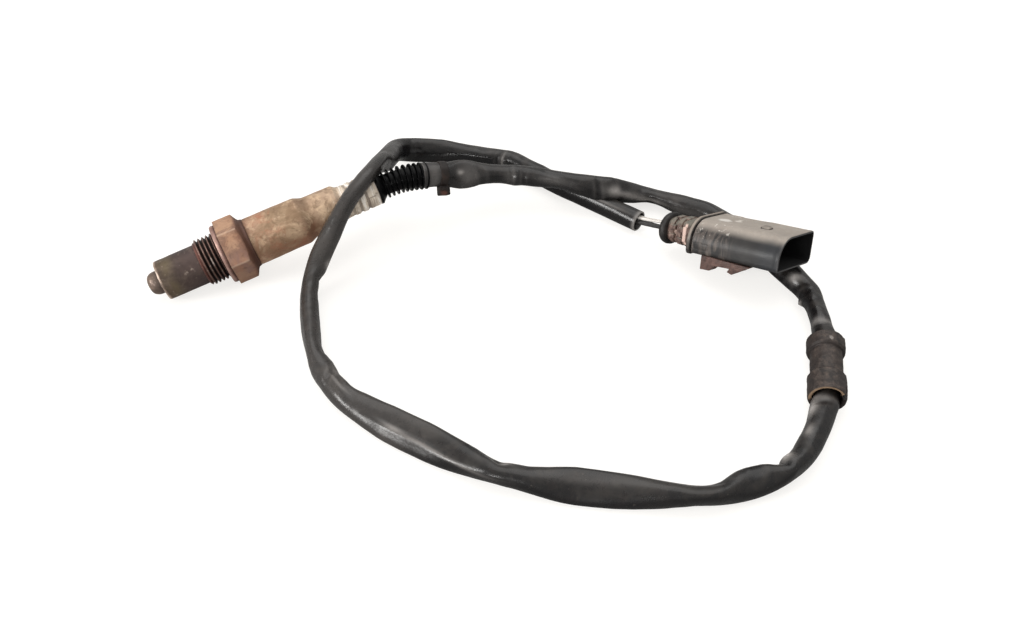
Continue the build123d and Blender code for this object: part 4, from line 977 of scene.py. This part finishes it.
# the pale zone at 6.1 mm is a painted highlight along the outer tube's rounded front rim
TUBEM = steel("tube_steel", [(0, (150, 130, 114)), (2.4, (122, 104, 92)), (5.6, (86, 74, 68)), (6.1, (214, 196, 180)), (6.6, (150, 130, 116)), (7.1, (90, 76, 62)), (10.5, (94, 82, 64)),
                             (14, (76, 63, 58)), (21.5, (68, 55, 53)), (26, (78, 58, 52))], ((54, 43, 40), (104, 90, 80)), ((72, 54, 46), 0.56, 0.74), 0.46, 0.5, 0.06)
ov_, of_ = lathe(iprof, 128, dull(0.05, 0.6, 3))
inner_v = mesh_piece("inner_protection_tube_dome", above_floor(ov_, PM), of_, TUBEM, "inner_protection_tube", M=PM, sharp=40, replaces=["inner_protection_tube"])
oprof = rounded([(6.9, 4.45, 0), (6.15, 4.45, 0.2), (6.0, 6.6, 0.25), (6.05, 7.35, 0.28), (6.7, 7.55, 0.3), (25.2, 7.62, 0), (25.2, 7.0, 0), (7.4, 6.9, 0.2), (7.2, 4.6, 0)], 5)
ov_, of_ = lathe(resampled(oprof, 0.5), 192, dull(0.07, 0.32, 4))
outer_v = mesh_piece("outer_protection_tube_shell", above_floor(ov_, PM), of_, TUBEM, "outer_protection_tube", M=PM, sharp=40, replaces=["outer_protection_tube"])

# --------------------------------------------- probe: thread, hexagon, collar
PIT, RMAJ, RMIN = 1.5, 9.0, 8.02
rows_ = [(25.0, 7.64), (21.65, 7.64), (21.55, 7.75), (21.55, 8.05), (21.7, 8.25)]
rows_ += [(s, RMIN) for s in np.arange(21.8, 29.61, 0.06)]
rows_ += rounded([(29.62, RMIN + 0.1, 0), (30.6, 8.15, 0.1), (31.3, 8.3, 0.1), (31.31, 12.2, 0.0), (31.34, 13.4, 0)], 3)
rows_ += [(s, 13.4) for s in np.arange(31.5, 38.2, 0.4)]
rows_ += resampled([(38.25, 12.95), (39.75, 10.15), (39.95, 9.95)], 0.12)
rows_ += resampled(rounded([(40.0, 9.85, 0), (40.35, 9.5, 0.2), (41.35, 9.25, 0.2), (41.35, 8.3, 0.1), (48.8, 8.3, 0.3), (48.8, 6.2, 0.2), (47.0, 6.0, 0.2), (27.0, 6.0, 0), (27.0, 7.4, 0)], 3), 0.5)
rows_ = [(float(a), float(b)) for a, b in resampled(rows_, 0.5)]
HR = math.radians(-11.0)


def housing_r(S_, R_, T_):
    # helical thread between the nose and the relief
    ph = (S_ - 23.2) / PIT - T_ / (2 * math.pi)
    fr = ph - np.floor(ph)
    tri = np.abs(fr - 0.5) * 2
    hgt = smooth01((0.93 - tri) / 0.8) * 0.55 + np.clip((0.93 - tri) / 0.8, 0, 1) * 0.45
    env = smooth01((S_ - 21.6) / 0.7) * (1 - smooth01((S_ - 28.9) / 0.7))
    inthr = (S_ > 21.75) & (S_ < 29.65) & (R_ > 7.9) & (R_ < 8.6)
    q = np.stack([S_.reshape(-1), (np.cos(T_) * R_).reshape(-1), (np.sin(T_) * R_).reshape(-1)], -1)
    n_ = nz(q, 0.7, 8).reshape(R_.shape)
    R1_ = RMIN + (RMAJ - RMIN) * hgt * env + 0.05 * n_
    R1_ = np.minimum(R1_, 8.15 + (S_ - 21.6) * 1.15)
    R_ = np.where(inthr, R1_, R_)
    # hexagon with worn corners
    acc_ = np.zeros_like(R_)
    for k in range(6):
        cth = np.clip(np.cos(T_ - (HR + math.pi / 6 + k * math.pi / 3)), 0.02, 1)
        acc_ += np.where(np.cos(T_ - (HR + math.pi / 6 + k * math.pi / 3)) > 0.02, (cth / 11.0) ** 70, 0)
    rhex = acc_ ** (-1 / 70)
    inhex = (S_ > 31.28) & (S_ < 40.3) & (R_ > 8.4)
    sm = (R_ ** -70.0 + rhex ** -70.0) ** (-1 / 70.0)
    R_ = np.where(inhex, sm + 0.04 * n_, R_)
    return R_


g = Mat("housing_steel")
x = g.xyz()[0]
nb = g.noise(95, 6, 0.62, 0.6)
nf = g.noise(600, 6, 0.66, 0.3)
wob = g.math("MULTIPLY", g.math("SUBTRACT", nb, 0.5), 0.0012)
f = g.remap(g.math("ADD", x, wob), 0.0213, 0.0418, 0, 1)
z_ = lambda s: (s - 21.3) / 20.5
base = g.ramp(f, [(z_(21.3), (128, 92, 84)), (z_(22.4), (122, 88, 80)), (z_(23.4), (56, 43, 41)), (z_(29.6), (50, 40, 39)), (z_(31.1), (96, 70, 62)), (z_(31.6), (132, 102, 86)),
                   (z_(37.6), (130, 99, 82)), (z_(38.6), (114, 82, 66)), (z_(39.6), (88, 58, 45)), (z_(41.5), (74, 48, 38))])
inhexm = g.math("MULTIPLY", g.step(x, 0.0312, 0.0316), g.math("SUBTRACT", 1.0, g.step(x, 0.0378, 0.0392)))
# tan, mauve and reddish mottling is banded by height on the hexagon: tan on the upper faces, mauve in the middle, red
# on the lower ones; real mottling, with painted light on the upper faces and painted shade on the lower ones
hz_ = g.xyz()[2]
upper = g.step(hz_, 0.0045, 0.0075)
lower = g.math("SUBTRACT", 1.0, g.step(hz_, -0.0065, -0.003))
tan_ = g.math("MULTIPLY", g.step(g.noise(140, 6, 0.65, 0.8), 0.40, 0.62), g.remap(upper, 0, 1, 0.35, 1.0))
c = g.mix(g.math("MULTIPLY", g.math("MULTIPLY", tan_, inhexm), 0.75), base, (188, 150, 120))
red = g.math("MULTIPLY", g.step(g.noise(80, 6, 0.66, 0.7), 0.44, 0.66), g.remap(lower, 0, 1, 0.6, 1.0))
c = g.mix(g.math("MULTIPLY", g.math("MULTIPLY", red, inhexm), 0.6), c, (140, 92, 68))
mau = g.math("MULTIPLY", g.step(g.noise(110, 5, 0.6, 0.4), 0.42, 0.6), g.math("SUBTRACT", 1.0, g.math("MAXIMUM", upper, lower)))
c = g.mix(g.math("MULTIPLY", g.math("MULTIPLY", mau, inhexm), 0.6), c, (122, 96, 90))
c = g.mix(g.math("MULTIPLY", g.step(nf, 0.54, 0.72), 0.4), c, (66, 46, 38))
rr1, rr2 = g.xyz()[1], g.xyz()[2]
rd = g.math("SQRT", g.math("ADD", g.math("MULTIPLY", rr1, rr1), g.math("MULTIPLY", rr2, rr2)))
# the thread crests are painted lighter, with bright glints: painted highlights
crest = g.math("MULTIPLY", g.step(rd, 0.00862, 0.00892), g.math("SUBTRACT", 1.0, g.step(x, 0.0292, 0.0298)))
c = g.mix(g.math("MULTIPLY", crest, 0.62), c, (158, 128, 118))
glint = g.math("MULTIPLY", crest, g.step(g.noise(260, 5, 0.7, 0.6), 0.56, 0.66))
c = g.mix(g.math("MULTIPLY", glint, 0.8), c, (226, 214, 204))
cedge = g.step(rd, 0.01235, 0.01262)
c = g.mix(g.math("MULTIPLY", cedge, 0.35), c, (198, 176, 156))
met = g.math("ADD", 0.42, g.math("MULTIPLY", g.math("SUBTRACT", 1.0, g.step(x, 0.0288, 0.0312)), 0.45))
rg = g.math("SUBTRACT", g.remap(nf, 0.3, 0.7, 0.44, 0.62), g.math("MULTIPLY", g.math("SUBTRACT", 1.0, g.step(x, 0.0288, 0.0312)), 0.20))
HOUM = g.done(c, rg, met, g.bump(g.math("ADD", nf, g.math("MULTIPLY", nb, 0.8)), 0.09))
hv, hf = lathe(rows_, 336, housing_r)
house = mesh_piece("sensor_housing_body", above_floor(hv, PM), hf, HOUM, "sensor_housing", M=PM, sharp=32, replaces=["sensor_housing"])

# gasket: a folded ring, flattened by tightening
gprof = rounded([(29.75, 9.2, 0.2), (29.55, 9.9, 0.2), (29.45, 10.4, 0.25), (29.55, 11.05, 0.4), (30.3, 11.32, 0.4), (31.2, 11.25, 0.25), (31.28, 10.8, 0.1), (31.28, 9.0, 0.1), (30.4, 8.75, 0.2), (29.8, 8.9, 0.2)], 4)
# its colour darkens toward the hexagon: painted shade in the gap between gasket and hexagon
GASM = steel("gasket_steel", [(29.2, (164, 132, 122)), (30.4, (150, 120, 110)), (30.9, (104, 74, 64)), (31.4, (42, 28, 25))], ((112, 86, 80), (188, 164, 152)), ((122, 84, 70), 0.55, 0.74), 0.52, 0.5, 0.07)
gask = mesh_piece("sealing_gasket_ring", *lathe(resampled(gprof, 0.25), 224, dull(0.07, 0.5, 9)), GASM, "sealing_gasket", M=PM, sharp=40, replaces=["sealing_gasket"])

# ------------------------------------------------------ probe: steel sleeve
sprof = rounded([(48.0, 8.35, 0), (41.35, 8.4, 0.1), (41.3, 8.9, 0.25), (41.6, 9.1, 0.3), (61.6, 9.1, 4.0), (64.6, 7.78, 4.0), (76.4, 7.72, 1.6), (78.0, 6.5, 1.2), (79.5, 6.38, 0.4),
                 (80.3, 6.38, 0.5), (80.7, 6.0, 0.3), (81.3, 6.0, 0.3), (81.7, 6.45, 0.5), (83.3, 6.45, 0.5), (83.8, 6.02, 0.3), (84.4, 6.02, 0.3), (84.9, 6.45, 0.5), (86.6, 6.45, 0.5),
                 (87.0, 6.02, 0.3), (87.6, 6.02, 0.3), (88.1, 6.38, 0.5), (91.9, 6.3, 0.35), (92.2, 6.1, 0.2), (92.2, 5.7, 0.1), (90.0, 5.6, 0)], 5)
sprof = resampled(sprof, 0.42)


def shell_r(S_, R_, T_):
    q = np.stack([S_.reshape(-1), (np.cos(T_) * R_).reshape(-1), (np.sin(T_) * R_).reshape(-1)], -1)
    R_ = R_ + nz(q, 0.11, 11).reshape(R_.shape) * 0.16 + nz(q, 0.5, 12).reshape(R_.shape) * 0.035
    crimp = smooth01((S_ - 78.6) / 1.5) * (1 - smooth01((S_ - 91.0) / 0.8))
    seg = np.maximum(np.abs(np.sin(4 * T_ + 0.5 * np.floor((S_ - 81.0) / 3.3))), 0.0)
    R_ = R_ - crimp * 0.20 * (1 - smooth01(seg / 0.28))
    for s0, a0, dep, ls, la in ((56.0, 2.3, 0.22, 3.0, 0.5), (70.5, 2.0, 0.35, 1.2, 0.25), (67.0, 2.9, 0.2, 2.0, 0.4)):
        da = (T_ - a0 + math.pi) % (2 * math.pi) - math.pi
        R_ = R_ - dep * np.exp(-((S_ - s0) / ls) ** 2 - (da / la) ** 2)
    return R_


g = Mat("sleeve_steel")
x = g.xyz()[0]
nb = g.noise(60, 6, 0.64, 0.7)
nm = g.noise(150, 6, 0.66, 0.8)
nf = g.noise(560, 6, 0.68, 0.3)
wob = g.math("MULTIPLY", g.math("SUBTRACT", nb, 0.5), 0.004)
f = g.remap(g.math("ADD", x, wob), 0.041, 0.0925, 0, 1)
z_ = lambda s: (s - 41.0) / 51.5
base = g.ramp(f, [(z_(41.0), (112, 78, 60)), (z_(42.6), (152, 120, 97)), (z_(47.0), (162, 133, 108)), (z_(58.0), (160, 132, 106)), (z_(61.5), (140, 113, 90)), (z_(64.2), (112, 88, 66)),
                   (z_(66.5), (158, 132, 108)), (z_(76.0), (168, 144, 122)), (z_(79.5), (200, 187, 170)), (z_(92.2), (206, 194, 178))])
notc = g.math("SUBTRACT", 1.0, g.math("MULTIPLY", g.step(x, 0.077, 0.080), 0.85))
mid_ = g.noise(260, 6, 0.7, 1.0)
c = g.mix(g.math("MULTIPLY", g.math("MULTIPLY", g.step(nm, 0.46, 0.62), 0.65), notc), base, (200, 174, 144))
c = g.mix(g.math("MULTIPLY", g.math("MULTIPLY", g.step(nb, 0.48, 0.64), 0.7), notc), c, (118, 94, 68))
c = g.mix(g.math("MULTIPLY", g.math("MULTIPLY", g.step(mid_, 0.50, 0.64), 0.55), notc), c, (110, 86, 64))
ox = g.math("SUBTRACT", 1.0, g.step(g.math("ABSOLUTE", g.math("SUBTRACT", x, 0.0535)), 0.004, 0.016))
redm = g.math("MULTIPLY", g.step(g.noise(95, 6, 0.68, 0.8), 0.46, 0.64), ox)
c = g.mix(g.math("MULTIPLY", redm, 0.7), c, (160, 102, 76))
# the lower side is painted redder brown: painted shade
low_ = g.math("SUBTRACT", 1.0, g.step(g.xyz()[2], -0.003, 0.005))
c = g.mix(g.math("MULTIPLY", g.math("MULTIPLY", low_, notc), 0.35), c, (136, 92, 68))
strk = g.noise(900, 3, 0.6, 0.3, g.stretched((1.0, 0.10, 0.10)))
crm = g.step(x, 0.0775, 0.0795)
c = g.mix(g.math("MULTIPLY", g.math("MULTIPLY", g.step(strk, 0.50, 0.62), crm), 0.65), c, (120, 104, 90))
c = g.mix(g.math("MULTIPLY", g.math("MULTIPLY", g.step(g.noise(700, 3, 0.6, 0.2, g.stretched((1.0, 0.12, 0.12))), 0.54, 0.64), crm), 0.7), c, (240, 234, 226))
c = g.mix(g.math("MULTIPLY", g.math("MULTIPLY", g.step(nf, 0.52, 0.7), 0.40), notc), c, (98, 72, 52))
c = g.mix(g.math("MULTIPLY", g.step(g.noise(330, 6, 0.7), 0.6, 0.74), 0.40), c, (216, 202, 180))
rd1, rd2 = g.xyz()[1], g.xyz()[2]
rd = g.math("SQRT", g.math("ADD", g.math("MULTIPLY", rd1, rd1), g.math("MULTIPLY", rd2, rd2)))
groove = g.math("MULTIPLY", g.step(rd, 0.00636, 0.00612), g.step(x, 0.0785, 0.0795))
c = g.mix(g.math("MULTIPLY", groove, 0.6), c, (84, 70, 60))
met = g.remap(g.step(x, 0.0765, 0.080), 0, 1, 0.30, 0.05)
rg = g.math("SUBTRACT", g.remap(nf, 0.3, 0.7, 0.46, 0.64), g.math("MULTIPLY", g.step(x, 0.0765, 0.080), 0.22))
SHELM = g.done(c, rg, met, g.bump(g.math("ADD", nf, g.math("MULTIPLY", nm, 0.8)), 0.10))
shell = mesh_piece("protective_sleeve_shell", *lathe(sprof, 224, shell_r), SHELM, "protective_sleeve", M=PM, sharp=38, replaces=["protective_sleeve"])

# ---------------------------------------------------------------- the boot
R1 = np.array([79.6 - CX, -0.9, 23.6])
R2 = np.array([93.6 - CX, -1.9, 20.9])
bd = unit(R2 - R1)
ctrl = [axis_pt(91.0), axis_pt(96.5), R1 - bd * 5.5, R1 + bd * 11.0]


def bsp(ctrl, n):
    c_ = [np.asarray(q, float) for q in ctrl]
    out = []
    m1 = (c_[1] + c_[2]) / 2
    for t in np.linspace(0, 1, n):
        if t < 0.5:
            u = t * 2
            a, b, c2 = c_[0], c_[1], m1
        else:
            u = t * 2 - 1
            a, b, c2 = m1, c_[2], c_[3]
        out.append(a * (1 - u) ** 2 + b * 2 * u * (1 - u) + c2 * u * u)
    return np.array(out)


bl = bsp(ctrl, 500)
ba = np.r_[0, np.cumsum(np.linalg.norm(np.diff(bl, axis=0), axis=1))]
d1 = ba[-1] - 11.0                       # the sleeve's end stands here
bprof = [(0.3, 5.2), (0.3, 5.55), (1.2, 5.55), (1.22, 6.2), (1.4, 6.42), (2.2, 6.45), (2.45, 6.2), (3.2, 5.35), (3.9, 4.75), (4.3, 4.45)]
FINP, nf_ = 2.04, 9
for k in range(nf_):
    dc = 5.25 + k * FINP
    rt = 5.36 - 0.01 * k
    bprof += rounded([(dc - 0.9, 3.95, 0), (dc - 0.42, 4.0, 0.2), (dc - 0.30, rt - 0.08, 0.2), (dc, rt + 0.04, 0.25), (dc + 0.30, rt - 0.08, 0.2), (dc + 0.42, 4.0, 0.2), (dc + 0.9, 3.95, 0)], 4)
bprof += [(d1 - 0.05, 4.2), (d1 + 0.1, 3.4), (d1 + 6.0, 3.4)]
bprof = resampled(bprof, 0.5)
na = 96
tb = np.linspace(0, 2 * math.pi, na, endpoint=False)
rowsb = []
for k, (d_, r_) in enumerate(bprof):
    c_ = np.array([np.interp(d_, ba, bl[:, j]) for j in range(3)])
    c2_ = np.array([np.interp(d_ + 0.05, ba, bl[:, j]) for j in range(3)])
    c1_ = np.array([np.interp(d_ - 0.05, ba, bl[:, j]) for j in range(3)])
    t_ = unit(c2_ - c1_)
    n_ = unit(ZZ - t_ * (t_ @ ZZ))
    b_ = np.cross(n_, t_)
    tilt = 0.10 * math.sin(d_ * 0.9) if d_ > 4.6 and d_ < d1 - 1 else 0.0
    ring = c_ + (np.cos(tb) * r_)[:, None] * b_ + (np.sin(tb) * r_)[:, None] * n_ + (t_[None] * (np.sin(tb) * tilt * (r_ - 4.2))[:, None])
    rowsb.append(ring)
rowsb = np.array(rowsb)
Vb = rowsb.reshape(-1, 3)
Vb = Vb + 0.05 * np.stack([nz(Vb, 0.6, 21), nz(Vb, 0.6, 22), nz(Vb, 0.6, 23)], -1)
Fb = grid(len(rowsb), na) + [tuple(range(na))[::-1], tuple((len(rowsb) - 1) * na + j for j in range(na))]
g = Mat("boot_rubber")
n1 = g.noise(150, 5, 0.6, 0.4)
n2 = g.noise(800, 5, 0.65)
base = g.ramp(n1, [(0.3, (4, 4, 5)), (0.6, (7, 7, 8)), (0.85, (14, 14, 14))])
c = g.mix(g.math("MULTIPLY", g.step(n2, 0.62, 0.76), 0.15), base, (80, 76, 72))
BOOTM = g.done(c, g.remap(n2, 0.3, 0.7, 0.20, 0.30), 0.0, g.bump(n2, 0.04), 0.08)
boot = mesh_piece("bend_protection_boot_rubber", Vb, Fb, BOOTM, "bend_protection_boot", sharp=42, replaces=["bend_protection_boot"])

# ------------------------------------ carried-over nodes: the probe's inside
INSIDE = {"ceramic_sensing_element": ((206, 202, 194), (232, 229, 222), 300, 0.5, 0.0), "lower_ceramic_insulator": ((214, 210, 202), (236, 233, 226), 260, 0.55, 0.0),
          "powder_packing": ((196, 192, 182), (222, 218, 208), 700, 0.9, 0.0), "upper_ceramic_insulator": ((214, 210, 202), (236, 233, 226), 260, 0.55, 0.0),
          "contact_holder": ((210, 206, 196), (234, 230, 222), 260, 0.5, 0.0), "contact_springs": ((150, 146, 138), (196, 192, 184), 420, 0.3, 0.9),
          "holder_spring_ring": ((128, 124, 118), (180, 176, 170), 420, 0.35, 0.9), "lead_grommet": ((40, 30, 27), (66, 52, 46), 300, 0.6, 0.0),
          "secondary_lock": ((10, 10, 11), (17, 17, 18), 240, 0.6, 0.0), "terminal_pins": ((84, 78, 62), (120, 112, 92), 420, 0.4, 0.95)}
for nm, (c0, c1, sc, ro, me_) in INSIDE.items():
    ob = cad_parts[nm]
    mt = plain_like(nm + "_surface", c0, c1, sc, ro, me_, 0.03)
    if ob.material_slots:
        for sl in ob.material_slots:
            sl.material = mt
    else:
        ob.data.materials.append(mt)
